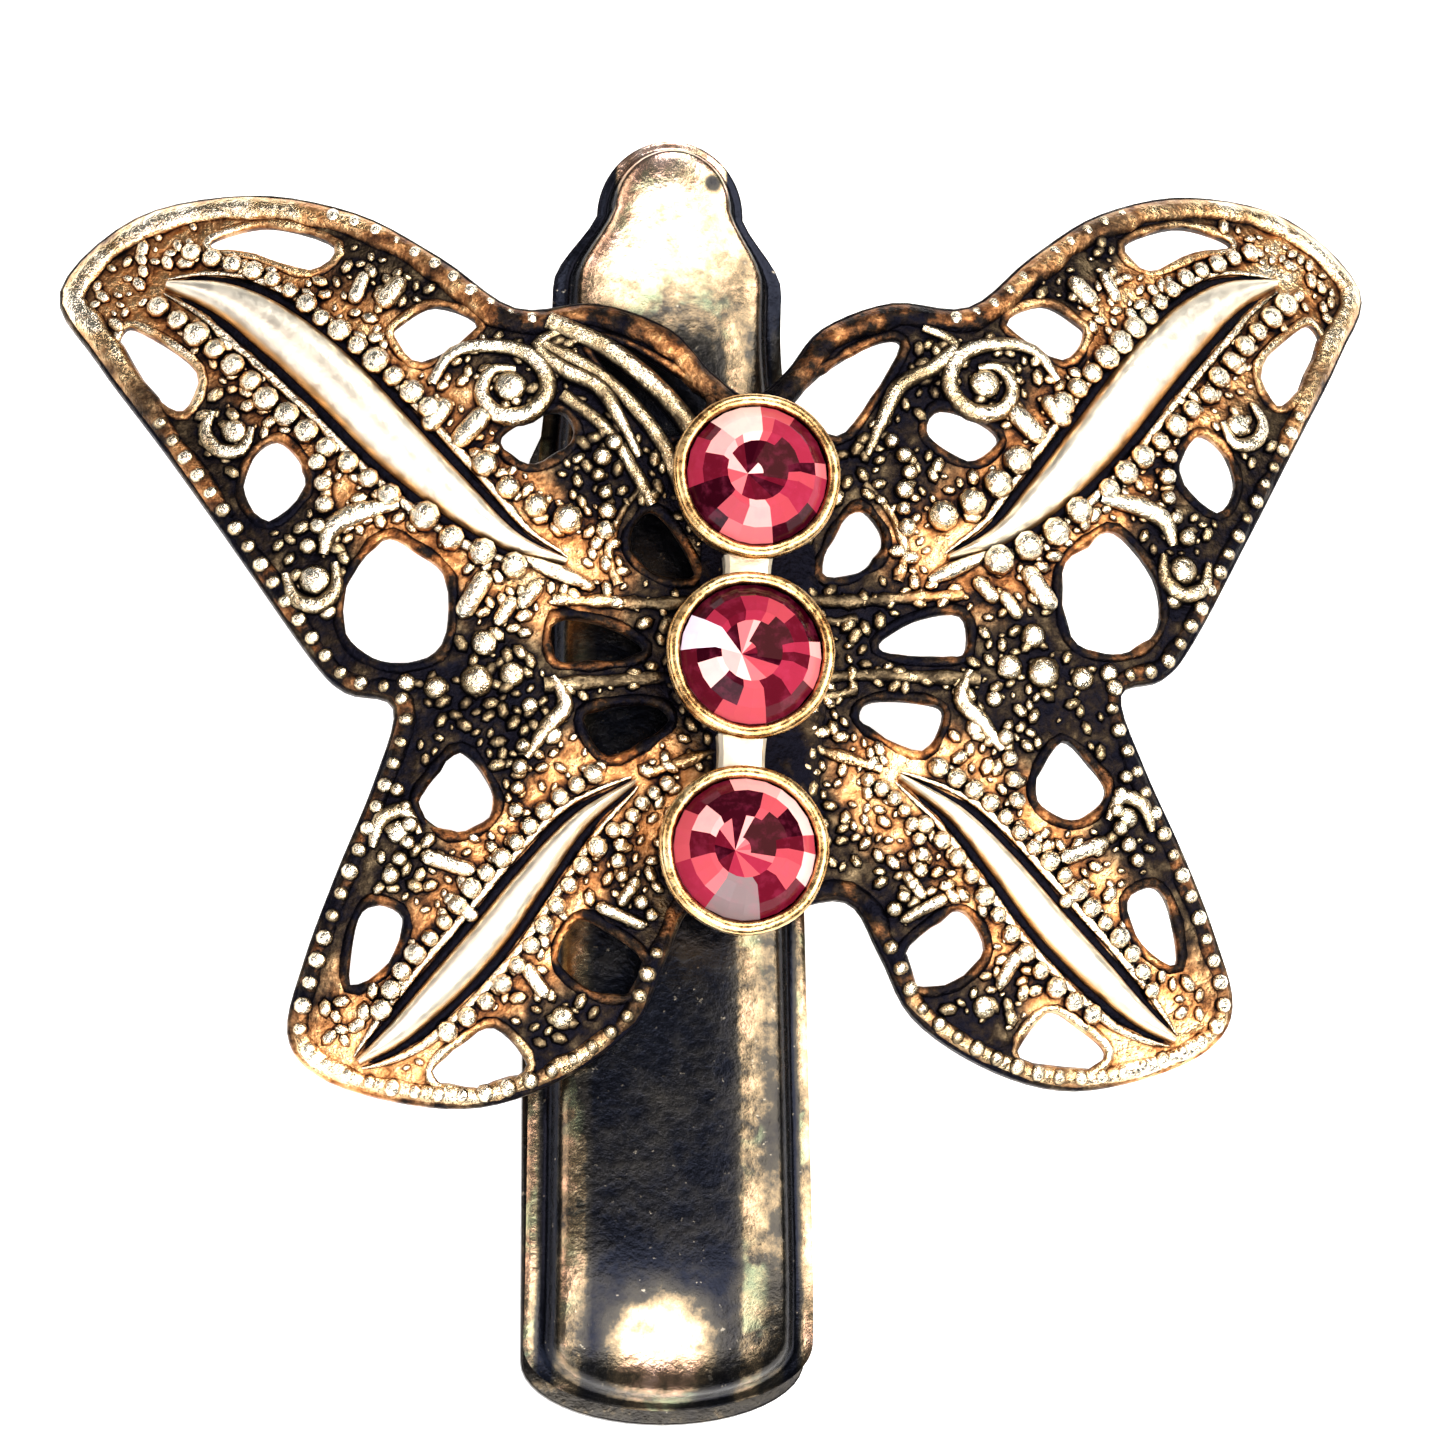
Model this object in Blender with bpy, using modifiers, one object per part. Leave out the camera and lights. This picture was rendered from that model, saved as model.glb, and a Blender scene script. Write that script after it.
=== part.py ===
"""Spring hair clip of the alligator kind, with a pierced butterfly and a row of three set stones.

Frame: +X across the clip, +Y from the beak to the thumb tab, +Z up through the butterfly.
The origin lies on the underside of the lower arm, on its centre line, below the hinge pin.
"""

import math

import bmesh
import bpy
from mathutils import Matrix, Vector

MM = 0.001

# Driving dimensions, in millimetres.
SHEET = 0.45             # thickness of the stamped upper arm
BASE_SHEET = 0.5         # thickness of the lower arm
BEAK_Y = -30.0           # tip of the beak
TAB_Y = 13.85            # end of the thumb tab
LOWER_TAB_Y = 12.6       # end of the lower tab
PIN_Z = 3.0              # height of the hinge axis, which runs along X at Y = 0
CROWN_HINGE_Z = 6.2      # top of the upper arm above the hinge
ARM_SLOPE = math.radians(5.434)   # fall of the crown towards the beak
NOSE_BEND_Y = -24.5      # from here to the beak the crown curves down further
NOSE_DROP = 1.15         # by this much at the tip
TAB_ANGLE = math.radians(22.0)
TAB_BEND_Y = 7.0         # middle of the bend between the arm and the tab
TAB_BEND_HALF = 1.5      # half length of that bend
BEAK_HALF_WIDTH = 5.05
HINGE_HALF_WIDTH = 4.6
TAB_ROOT_HALF_WIDTH = 4.1
TAB_HEAD_RADIUS = 2.5
SHOULDER_TAPER = (1.5, 8.0)        # along Y, where the arm narrows to the tab
NECK_TAPER = (9.0, 11.8)           # and where the tab narrows to its head
NOSE_LENGTH = 2.2        # length of the rounded end of the beak

PIN_RADIUS = 0.55
PIN_HOLE_RADIUS = 0.68
PIN_HALF_LENGTH = 4.66
PIN_HEAD_RADIUS = 0.95
PIN_HEAD_THICKNESS = 0.28
EAR_RADIUS = 1.25
EAR_SHEET = 0.45
UPPER_EAR_X = 3.5        # middle of the upper arm's ear
LOWER_EAR_X = 4.3        # middle of the lower arm's ear
EAR_HALF_LENGTH = 2.7

WIRE_RADIUS = 0.27
COIL_RADIUS = 1.35
COIL_TURNS = 4
COIL_HALF_LENGTH = 1.5
COIL_POINTS_PER_TURN = 14
SPRING_LEG_Y = 7.4       # where the two legs end, under the tabs

SEAT_X = 2.9             # the butterfly sits off the clip's centre line
SEAT_Y = -4.8
SEAT_TURN = math.radians(1.95)
SEAT_LIFT = 1.4          # from the crown of the arm to the underside of the butterfly
PLATE = 0.9              # thickness of the butterfly
FLAT_RADIUS = 8.0        # the butterfly is flat inside this radius
FALL = 0.0125            # and falls by this much per square millimetre beyond it
CREASES_U = (2.6, 7.0, 12.0, 18.0)
CREASES_V = (-10.0, -5.0, 0.0, 5.0, 10.0)

ROW_U = -0.76            # place of the middle stone on the butterfly
ROW_V = -0.37
ROW_TURN = math.radians(-4.3)
STONE_PLACES = {"top": 6.25, "middle": 0.0, "bottom": -6.7}
GAP = 0.12               # clearance between pieces that sit on or in each other
CUP_RIM_RADIUS = 2.9
CUP_BASE_RADIUS = 2.55
CUP_HEIGHT = 2.2
CUP_WALL = 0.25
CUP_FLOOR = 0.35
LINK_WIDTH = 1.7
LINK_HEIGHT = 0.8
GIRDLE_RADIUS = 2.5
TABLE_RADIUS = 1.25
PAD_RADIUS = 1.1
PAD_PLACES = {"solder_pad_front": (1.3, -9.2), "solder_pad_rear": (1.3, 0.6)}

# One wing's outline on the butterfly, (u, v) from its middle, from the head round to the tail.
WING_OUTLINE = (
    (1.3, 10.2), (2.7, 11.8), (5.3, 12.8), (8.1, 12.7), (10.6, 14.7), (13.5, 16.6), (17.2, 17.6),
    (21.2, 17.1), (23.9, 14.5), (22.6, 11.6), (20.4, 8.1), (18.1, 4.4), (15.6, 0.4), (14.4, -0.9),
    (12.8, -1.5), (13.5, -4.0), (14.9, -7.2), (16.0, -10.0), (16.6, -12.4), (15.6, -13.9),
    (13.0, -14.9), (10.1, -15.2), (7.2, -14.3), (4.8, -12.6), (3.7, -10.4), (2.6, -8.6),
)
HEAD_V = 9.3             # where the outline crosses the middle line at the head
TAIL_V = -8.9            # and at the tail

# The piercings of one wing, each a ring of points.
WING_PIERCINGS = (
    ((18.5, 15.6), (18.0, 16.0), (16.3, 16.2), (14.2, 15.3), (15.1, 14.4), (17.0, 15.2)),
    ((9.4, 12.0), (11.4, 10.7), (12.3, 11.7), (12.0, 12.2), (10.8, 12.8)),
    ((8.8, 7.7), (8.1, 8.4), (6.7, 8.8), (6.2, 8.0), (6.8, 7.3), (7.9, 6.9)),
    ((5.5, 11.1), (4.8, 11.3), (3.2, 10.5), (1.5, 9.1), (3.0, 7.8), (4.3, 9.2)),
    ((2.2, 2.9), (3.4, 2.9), (4.3, 3.6), (4.4, 4.4), (3.7, 5.2), (2.9, 4.5)),
    ((12.9, 4.4), (11.8, 3.9), (10.8, 2.9), (11.0, 0.6), (12.2, 0.0), (13.4, 0.2), (14.3, 1.1), (14.2, 2.8)),
    ((16.8, 5.2), (17.6, 6.2), (17.3, 7.5), (16.4, 8.1), (15.6, 7.2), (15.6, 6.2)),
    ((21.6, 12.6), (21.0, 12.6), (19.1, 10.9), (19.6, 9.4), (20.7, 10.2), (21.7, 11.8)),
    ((4.1, 0.4), (4.8, 0.0), (6.4, -0.1), (7.2, 0.1), (7.1, 1.4), (5.4, 1.2)),
    ((3.3, -2.1), (3.9, -2.7), (5.5, -3.4), (6.3, -2.1), (5.6, -1.7), (3.9, -1.6)),
    ((10.5, -3.1), (9.5, -4.4), (9.6, -5.4), (10.7, -5.9), (11.6, -5.5), (12.0, -4.8), (11.5, -4.0)),
    ((14.4, -10.9), (14.2, -9.0), (13.6, -8.2), (12.6, -8.7), (13.1, -10.2)),
    ((6.7, -9.0), (5.8, -9.3), (4.5, -10.4), (4.9, -11.5), (6.3, -11.4), (7.4, -10.3)),
    ((11.7, -13.9), (10.7, -13.0), (9.6, -12.5), (8.5, -13.8), (9.6, -14.6), (11.0, -14.5)),
)

# Across one half of the upper arm: fraction of the half width, and depth below the crown.
ARM_SECTION = ((0.0, 0.0), (0.25, 0.0), (0.5, 0.02), (0.78, 0.28), (0.88, 1.0), (1.0, 1.05))


def clear_scene():
    for item in list(bpy.data.objects):
        bpy.data.objects.remove(item, do_unlink=True)


def new_collection(name):
    made = bpy.data.collections.new(name)
    bpy.context.scene.collection.children.link(made)
    return made


def metal_or_glass(name, colour, roughness, metallic):
    made = bpy.data.materials.new(name)
    made.use_nodes = True
    shader = made.node_tree.nodes["Principled BSDF"]
    shader.inputs["Base Color"].default_value = (*colour, 1.0)
    shader.inputs["Roughness"].default_value = roughness
    shader.inputs["Metallic"].default_value = metallic
    made.diffuse_color = (*colour, 1.0)
    return made


def add_empty(name, collection, location=(0, 0, 0), rotation=(0, 0, 0), parent=None):
    made = bpy.data.objects.new(name, None)
    made.empty_display_size = 0.005
    made.rotation_mode = "ZYX"
    made.location = Vector(location) * MM
    made.rotation_euler = rotation
    made.parent = parent
    collection.objects.link(made)
    return made


def add_piece(name, mesh, collection, material=None, location=(0, 0, 0), parent=None):
    """Add one sub-part; its mesh is in millimetres around its own location."""
    mesh.transform(Matrix.Scale(MM, 4))
    made = bpy.data.objects.new(name, mesh)
    made.location = Vector(location) * MM
    made.parent = parent
    if material:
        mesh.materials.clear()
        mesh.materials.append(material)
    collection.objects.link(made)
    return made


def add_cutter(name, mesh, collection, location=(0, 0, 0), parent=None):
    made = add_piece(name, mesh, collection, location=location, parent=parent)
    made.hide_render = True
    made.display_type = "WIRE"
    return made


def boolean(target, operation, operand):
    modifier = target.modifiers.new(operation.title() + " " + operand.name, "BOOLEAN")
    modifier.operation = operation
    modifier.object = operand
    modifier.solver = "EXACT"


def shade(mesh, angle=35.0):
    mesh.shade_smooth()
    mesh.set_sharp_from_angle(angle=math.radians(angle))


def outline_mesh(name, rings, thickness, smooth=False, samples=3):
    """Fill closed outlines in the XY plane; rings inside another ring are holes."""
    curve = bpy.data.curves.new(name, "CURVE")
    curve.dimensions = "2D"
    curve.fill_mode = "BOTH"
    curve.extrude = thickness / 2
    curve.resolution_u = samples
    for ring in rings:
        if smooth:
            spline = curve.splines.new("BEZIER")
            spline.bezier_points.add(len(ring) - 1)
            for point, (x, y) in zip(spline.bezier_points, ring):
                point.co = (x, y, 0)
                point.handle_left_type = "AUTO"
                point.handle_right_type = "AUTO"
        else:
            spline = curve.splines.new("POLY")
            spline.points.add(len(ring) - 1)
            for point, (x, y) in zip(spline.points, ring):
                point.co = (x, y, 0, 1)
        spline.use_cyclic_u = True
    holder = bpy.data.objects.new(name, curve)
    bpy.context.scene.collection.objects.link(holder)
    depsgraph = bpy.context.evaluated_depsgraph_get()
    mesh = bpy.data.meshes.new_from_object(holder.evaluated_get(depsgraph))
    bpy.data.objects.remove(holder, do_unlink=True)
    bpy.data.curves.remove(curve)
    weld(mesh)
    return mesh


def weld(mesh):
    bm = bmesh.new()
    bm.from_mesh(mesh)
    bmesh.ops.remove_doubles(bm, verts=bm.verts, dist=0.0001)
    bmesh.ops.recalc_face_normals(bm, faces=bm.faces)
    bm.to_mesh(mesh)
    bm.free()


def cylinder_mesh(name, radius, length, matrix, segments=24):
    bm = bmesh.new()
    bmesh.ops.create_cone(
        bm, cap_ends=True, segments=segments, radius1=radius, radius2=radius, depth=length, matrix=matrix
    )
    mesh = bpy.data.meshes.new(name)
    bm.to_mesh(mesh)
    bm.free()
    return mesh


def smoothstep(low, high, value):
    share = min(max((value - low) / (high - low), 0.0), 1.0)
    return share * share * (3 - 2 * share)


def crown_height(y):
    """Height of the upper arm's crown along the clip."""
    rise = math.tan(ARM_SLOPE)
    extra = math.tan(TAB_ANGLE) - rise
    past = y - TAB_BEND_Y
    if past > TAB_BEND_HALF:
        bend = extra * past
    elif past > -TAB_BEND_HALF:
        bend = extra * (past + TAB_BEND_HALF) ** 2 / (4 * TAB_BEND_HALF)
    else:
        bend = -NOSE_DROP * (max(0.0, NOSE_BEND_Y - y) / (NOSE_BEND_Y - BEAK_Y)) ** 2
    return CROWN_HINGE_Z + rise * y + bend


def arm_half_width(y):
    """Half the width of the upper arm: a long taper, a waisted tab and its round head."""
    taper = HINGE_HALF_WIDTH + (BEAK_HALF_WIDTH - HINGE_HALF_WIDTH) * min(y, 0.0) / BEAK_Y
    shoulder = taper + (TAB_ROOT_HALF_WIDTH - taper) * smoothstep(*SHOULDER_TAPER, y)
    return shoulder + (TAB_HEAD_RADIUS - TAB_ROOT_HALF_WIDTH) * smoothstep(*NECK_TAPER, y)


def arm_stations():
    """Rows along the upper arm as (y of the row, sideways push of its round end, end length)."""
    steps = len(ARM_SECTION) - 1
    nose_y = BEAK_Y + NOSE_LENGTH
    head_y = TAB_Y - TAB_HEAD_RADIUS
    rows = [(nose_y, -(steps - i) / steps, NOSE_LENGTH) for i in range(steps)]
    straight = (-26.8, -25.8, -25.0, -24.5, -18.0, -12.0, -6.0, -3.0, 0.0, 3.0)
    bend = (5.5, 6.2, 7.0, 7.8, 8.5, 9.2, 9.9, 10.6)
    rows += [(y, 0.0, 1.0) for y in (nose_y,) + straight + bend]
    rows += [(head_y, i / steps, TAB_HEAD_RADIUS) for i in range(steps + 1)]
    return rows


def arm_point(column, row):
    """A point of the arm's upper skin: column runs from -1 to 1 across, row is a station."""
    y, end, length = row
    reach = max(abs(column), abs(end))
    if reach == 0.0:
        return Vector((0, y, crown_height(y)))
    across, along = column / reach, end / reach
    fraction, drop = ARM_SECTION[round(reach * (len(ARM_SECTION) - 1))]
    x = arm_half_width(y) * fraction * across * math.sqrt(1 - along * along / 2)
    y += length * fraction * along * math.sqrt(1 - across * across / 2)
    return Vector((x, y, crown_height(y) - drop))


def arm_skin_mesh():
    rows = arm_stations()
    columns = 2 * len(ARM_SECTION) - 1
    bm = bmesh.new()
    bmesh.ops.create_grid(bm, x_segments=columns - 1, y_segments=len(rows) - 1, size=1.0)
    for vertex in bm.verts:
        column = round((vertex.co.x + 1) / 2 * (columns - 1)) / (columns - 1) * 2 - 1
        row = rows[round((vertex.co.y + 1) / 2 * (len(rows) - 1))]
        vertex.co = arm_point(column, row) - Vector((0, 0, PIN_Z))
    mesh = bpy.data.meshes.new("upper_arm")
    bm.to_mesh(mesh)
    bm.free()
    return mesh


def ear_outline(top_height, reach):
    """An ear seen from the side, round below its pin hole and straight above, around the pin."""
    steps = 12
    arc = [math.pi + math.pi * i / steps for i in range(steps + 1)]
    ring = [(EAR_RADIUS * math.cos(a), EAR_RADIUS * math.sin(a)) for a in arc]
    return ring + [(reach, top_height(reach)), (-reach, top_height(-reach))]


def stand_up(mesh, x):
    """Turn an outline drawn as (Y, Z) into place at a distance across the clip."""
    turn = Matrix(((0, 0, 1, x), (1, 0, 0, 0), (0, 1, 0, 0), (0, 0, 0, 1)))
    mesh.transform(turn)
    return mesh


def pin_hole(cutters, parent, location):
    along_x = Matrix.Rotation(math.pi / 2, 4, "Y")
    mesh = cylinder_mesh("pin_hole", PIN_HOLE_RADIUS, 12.0, along_x)
    return add_cutter("pin_hole_" + ("upper" if parent else "lower"), mesh, cutters, location, parent)


def make_upper_arm(parts, cutters, brass, hinge):
    mesh = arm_skin_mesh()
    arm = add_piece("upper_arm", mesh, parts, brass, parent=hinge)
    skin = arm.modifiers.new("Sheet", "SOLIDIFY")
    skin.thickness = SHEET * MM
    skin.offset = -1
    buried = ARM_SECTION[3][1] * 2
    for side, name in ((-1, "upper_ear_left"), (1, "upper_ear_right")):
        ring = ear_outline(lambda y: crown_height(y) - buried - PIN_Z, EAR_HALF_LENGTH)
        ear = stand_up(outline_mesh(name, [ring], EAR_SHEET), side * UPPER_EAR_X)
        boolean(arm, "UNION", add_cutter(name, ear, cutters, parent=hinge))
    boolean(arm, "DIFFERENCE", pin_hole(cutters, hinge, (0, 0, 0)))
    shade(mesh)


def lower_outline():
    """Plan of the lower arm: round beak, long sides, and a narrower round tab."""
    head = 2.1
    head_y = LOWER_TAB_Y - head
    nose_y = BEAK_Y - 0.4 + NOSE_LENGTH
    half = BEAK_HALF_WIDTH - 0.1
    nose = [math.radians(180 + 15 * i) for i in range(13)]
    ring = [(half * math.cos(a), nose_y + NOSE_LENGTH * math.sin(a)) for a in nose]
    side = [(HINGE_HALF_WIDTH, -3.2), (HINGE_HALF_WIDTH, 3.2), (3.9, 5.6), (2.9, 8.2)]
    crown = [math.radians(15 * i) for i in range(13)]
    arc = [(head * math.cos(a), head_y + head * math.sin(a)) for a in crown]
    return ring + side + arc + [(-x, y) for x, y in reversed(side)]


def make_lower_arm(parts, cutters, brass):
    mesh = outline_mesh("lower_arm", [lower_outline()], BASE_SHEET)
    mesh.transform(Matrix.Translation((0, 0, BASE_SHEET / 2)))
    arm = add_piece("lower_arm", mesh, parts, brass)
    for side, name in ((-1, "lower_ear_left"), (1, "lower_ear_right")):
        ring = ear_outline(lambda y: PIN_Z - BASE_SHEET / 2, EAR_HALF_LENGTH)
        ear = outline_mesh(name, [[(y, PIN_Z - z) for y, z in ring]], EAR_SHEET)
        boolean(arm, "UNION", add_cutter(name, stand_up(ear, side * LOWER_EAR_X), cutters))
    boolean(arm, "DIFFERENCE", pin_hole(cutters, None, (0, 0, PIN_Z)))
    shade(mesh)


def make_pin(parts, steel):
    """A rivet: a plain shank with a formed head at each end."""
    end = PIN_HALF_LENGTH + PIN_HEAD_THICKNESS
    half = ((0.0, end), (PIN_HEAD_RADIUS * 0.8, end), (PIN_HEAD_RADIUS, end - 0.1),
            (PIN_HEAD_RADIUS, PIN_HALF_LENGTH), (PIN_RADIUS, PIN_HALF_LENGTH))
    profile = list(half) + [(r, -z) for r, z in reversed(half)]
    mesh = turned_mesh("hinge_pin", profile)
    pin = add_piece("hinge_pin", mesh, parts, steel, (0, 0, PIN_Z))
    pin.rotation_euler = (0, math.pi / 2, 0)
    spin(pin, 20)
    shade(mesh)


def turned_mesh(name, profile):
    mesh = bpy.data.meshes.new(name)
    edges = [(i, i + 1) for i in range(len(profile) - 1)]
    mesh.from_pydata([(r, 0, z) for r, z in profile], edges, [])
    return mesh


def spin(item, steps):
    """Turn a profile, which runs down its outer side, about its own Z axis."""
    screw = item.modifiers.new("Turned", "SCREW")
    screw.steps = steps
    screw.render_steps = steps
    screw.use_merge_vertices = True
    screw.merge_threshold = 0.00001
    screw.use_smooth_shade = True


def spring_path():
    """A torsion spring round the pin, with both legs running back under the tabs."""
    coil = []
    total = COIL_TURNS * COIL_POINTS_PER_TURN + COIL_POINTS_PER_TURN // 2
    for i in range(total + 1):
        turn = -math.pi / 2 - 2 * math.pi * i / COIL_POINTS_PER_TURN
        x = COIL_HALF_LENGTH * (2 * i / total - 1)
        coil.append((x, COIL_RADIUS * math.cos(turn), COIL_RADIUS * math.sin(turn)))
    low_end = BASE_SHEET + WIRE_RADIUS + GAP - PIN_Z
    high_end = crown_height(SPRING_LEG_Y) - SHEET - WIRE_RADIUS - 3 * GAP - PIN_Z
    low_leg = [(-COIL_HALF_LENGTH, SPRING_LEG_Y, low_end), (-COIL_HALF_LENGTH, 3.0, low_end)]
    high_leg = [(COIL_HALF_LENGTH, 3.0, COIL_RADIUS + 0.15), (COIL_HALF_LENGTH, SPRING_LEG_Y, high_end)]
    return low_leg + coil + high_leg


def make_spring(parts, steel):
    curve = bpy.data.curves.new("torsion_spring", "CURVE")
    curve.dimensions = "3D"
    curve.bevel_depth = WIRE_RADIUS * MM
    curve.bevel_resolution = 2
    curve.use_fill_caps = True
    path = spring_path()
    spline = curve.splines.new("POLY")
    spline.points.add(len(path) - 1)
    for point, place in zip(spline.points, path):
        point.co = (*(Vector(place) * MM), 1)
    curve.materials.append(steel)
    spring = bpy.data.objects.new("torsion_spring", curve)
    spring.location = (0, 0, PIN_Z * MM)
    parts.objects.link(spring)


def plate_fall(u, v):
    """How far the butterfly's wings curve down at a place on it."""
    return FALL * max(0.0, math.hypot(u, v) - FLAT_RADIUS) ** 2


def cut_creases(mesh):
    """Cut a flat plate along a few lines each way, so that it can curve between them."""
    bm = bmesh.new()
    bm.from_mesh(mesh)
    lines = [((sign * u, 0, 0), (1, 0, 0)) for u in CREASES_U for sign in (-1, 1)]
    lines += [((0, v, 0), (0, 1, 0)) for v in CREASES_V]
    for place, normal in lines:
        everything = bm.verts[:] + bm.edges[:] + bm.faces[:]
        bmesh.ops.bisect_plane(bm, geom=everything, plane_co=place, plane_no=normal, dist=0.001)
    bmesh.ops.triangulate(bm, faces=bm.faces)
    bm.to_mesh(mesh)
    bm.free()


def make_butterfly(parts, brass, seat):
    right = list(WING_OUTLINE)
    left = [(-u, v) for u, v in reversed(right)]
    rings = [[(0, HEAD_V)] + right + [(0, TAIL_V)] + left]
    for ring in WING_PIERCINGS:
        rings.append(list(ring))
        rings.append([(-u, v) for u, v in ring])
    mesh = outline_mesh("butterfly", rings, PLATE, smooth=True)
    cut_creases(mesh)
    for vertex in mesh.vertices:
        vertex.co.z += PLATE / 2 - plate_fall(vertex.co.x, vertex.co.y)
    add_piece("butterfly", mesh, parts, brass, parent=seat)
    shade(mesh)


def make_cup(parts, gold, row, name, place):
    inner = CUP_RIM_RADIUS - CUP_WALL
    lip = GIRDLE_RADIUS - 0.05
    profile = (
        (0.0, CUP_FLOOR), (CUP_BASE_RADIUS - CUP_WALL, CUP_FLOOR), (inner, CUP_HEIGHT - 0.45),
        (lip + 0.1, CUP_HEIGHT), (CUP_RIM_RADIUS - 0.05, CUP_HEIGHT), (CUP_RIM_RADIUS, CUP_HEIGHT - 0.2),
        (CUP_BASE_RADIUS, 0.0), (0.0, 0.0),
    )
    mesh = turned_mesh(name, profile)
    cup = add_piece(name, mesh, parts, gold, (0, place, GAP), row)
    spin(cup, 28)
    shade(mesh)


def make_stone(parts, glass, row, name, place):
    """A round foiled stone: table, crown, girdle and a pointed back, with flat facets."""
    girdle = CUP_HEIGHT - 0.62
    rings = (
        (TABLE_RADIUS, CUP_HEIGHT + 0.75, 8, 0.0), (2.05, CUP_HEIGHT + 0.3, 8, 0.5),
        (GIRDLE_RADIUS - 0.1, girdle + 0.15, 16, 0.0), (GIRDLE_RADIUS - 0.1, girdle, 16, 0.0),
        (1.3, CUP_FLOOR + 0.5, 8, 0.0), (0.2, CUP_FLOOR + GAP, 8, 0.0),
    )
    bm = bmesh.new()
    for radius, height, count, shift in rings:
        for i in range(count):
            turn = 2 * math.pi * (i + shift) / count
            bm.verts.new((radius * math.cos(turn), radius * math.sin(turn), height))
    bmesh.ops.convex_hull(bm, input=bm.verts)
    mesh = bpy.data.meshes.new(name)
    bm.to_mesh(mesh)
    bm.free()
    add_piece(name, mesh, parts, glass, (0, place, GAP), row)


def make_link(parts, gold, row, name, upper, lower):
    """The flat bar between two neighbouring cups."""
    length = upper - lower - 2 * (CUP_BASE_RADIUS + 0.12 + GAP)
    bm = bmesh.new()
    bmesh.ops.create_cube(bm, size=1.0, matrix=Matrix.Diagonal((LINK_WIDTH, length, LINK_HEIGHT, 1)))
    mesh = bpy.data.meshes.new(name)
    bm.to_mesh(mesh)
    bm.free()
    add_piece(name, mesh, parts, gold, (0, (upper + lower) / 2, GAP + LINK_HEIGHT / 2), row)


def make_pads(parts, solder, hinge):
    """Short solder pads between the crown of the arm and the butterfly."""
    height = SEAT_LIFT - 2 * GAP
    lean = Matrix.Rotation(ARM_SLOPE, 4, "X")
    for name, (x, y) in PAD_PLACES.items():
        mesh = cylinder_mesh(name, PAD_RADIUS, height, lean)
        place = (x, y, crown_height(y) + SEAT_LIFT / 2 - PIN_Z)
        add_piece(name, mesh, parts, solder, place, hinge)


def main():
    clear_scene()
    parts = new_collection("butterfly_hair_clip")
    cutters = new_collection("cutters")

    brass = metal_or_glass("antique_brass", (0.36, 0.24, 0.13), 0.38, 1.0)
    arm_brass = metal_or_glass("arm_brass", (0.33, 0.26, 0.19), 0.36, 1.0)
    gold = metal_or_glass("cup_brass", (0.58, 0.40, 0.20), 0.28, 1.0)
    steel = metal_or_glass("spring_steel", (0.42, 0.40, 0.37), 0.3, 1.0)
    solder = metal_or_glass("solder", (0.40, 0.38, 0.35), 0.45, 1.0)
    glass = metal_or_glass("rose_glass", (0.72, 0.10, 0.22), 0.05, 0.0)

    hinge = add_empty("hinge_axis", parts, (0, 0, PIN_Z))
    seat_height = crown_height(SEAT_Y) + SEAT_LIFT - PIN_Z
    seat = add_empty("butterfly_seat", parts, (SEAT_X, SEAT_Y, seat_height), (ARM_SLOPE, 0, SEAT_TURN), hinge)
    row = add_empty("stone_row", parts, (ROW_U, ROW_V, PLATE), (0, 0, ROW_TURN), seat)

    make_lower_arm(parts, cutters, arm_brass)
    make_pin(parts, steel)
    make_spring(parts, steel)
    make_upper_arm(parts, cutters, arm_brass, hinge)
    make_pads(parts, solder, hinge)
    make_butterfly(parts, brass, seat)
    for name, place in STONE_PLACES.items():
        make_cup(parts, gold, row, "cup_" + name, place)
        make_stone(parts, glass, row, "stone_" + name, place)
    make_link(parts, gold, row, "link_upper", STONE_PLACES["top"], STONE_PLACES["middle"])
    make_link(parts, gold, row, "link_lower", STONE_PLACES["middle"], STONE_PLACES["bottom"])


main()
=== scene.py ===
"""Fine shapes and finishes of a butterfly hair clip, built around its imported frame.

Frame: +X across the clip, +Y from the beak to the thumb tab, +Z up through the butterfly, metres.
Drawings are in millimetres; the butterfly is drawn flat, as (u, v, height), and then laid in place.
"""

import math

import bmesh
import bpy
from bpy.props import FloatProperty, FloatVectorProperty, IntProperty, PointerProperty
from bpy.types import Operator, Panel, PropertyGroup
from mathutils import Matrix, Vector, noise


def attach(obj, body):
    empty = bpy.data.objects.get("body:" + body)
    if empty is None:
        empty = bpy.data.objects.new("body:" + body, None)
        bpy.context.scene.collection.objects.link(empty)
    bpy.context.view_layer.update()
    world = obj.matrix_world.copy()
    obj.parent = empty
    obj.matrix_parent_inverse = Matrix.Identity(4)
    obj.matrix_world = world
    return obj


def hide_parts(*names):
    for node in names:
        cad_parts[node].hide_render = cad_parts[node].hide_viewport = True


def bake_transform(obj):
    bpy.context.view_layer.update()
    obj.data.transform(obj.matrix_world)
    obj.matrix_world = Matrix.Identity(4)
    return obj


bl_info = {
    "name": "Butterfly hair clip",
    "version": (1, 0, 0),
    "blender": (4, 5, 0),
    "location": "3D View > Sidebar > Hair clip",
    "description": "Builds the pieces of an antique brass butterfly hair clip",
    "category": "Object",
}

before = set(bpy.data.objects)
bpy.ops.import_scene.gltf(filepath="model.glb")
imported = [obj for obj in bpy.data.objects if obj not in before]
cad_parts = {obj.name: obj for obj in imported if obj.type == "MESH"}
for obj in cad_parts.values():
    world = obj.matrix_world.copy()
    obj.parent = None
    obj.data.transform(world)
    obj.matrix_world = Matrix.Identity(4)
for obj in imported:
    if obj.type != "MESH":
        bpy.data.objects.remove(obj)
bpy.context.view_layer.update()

MM = 0.001

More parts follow.
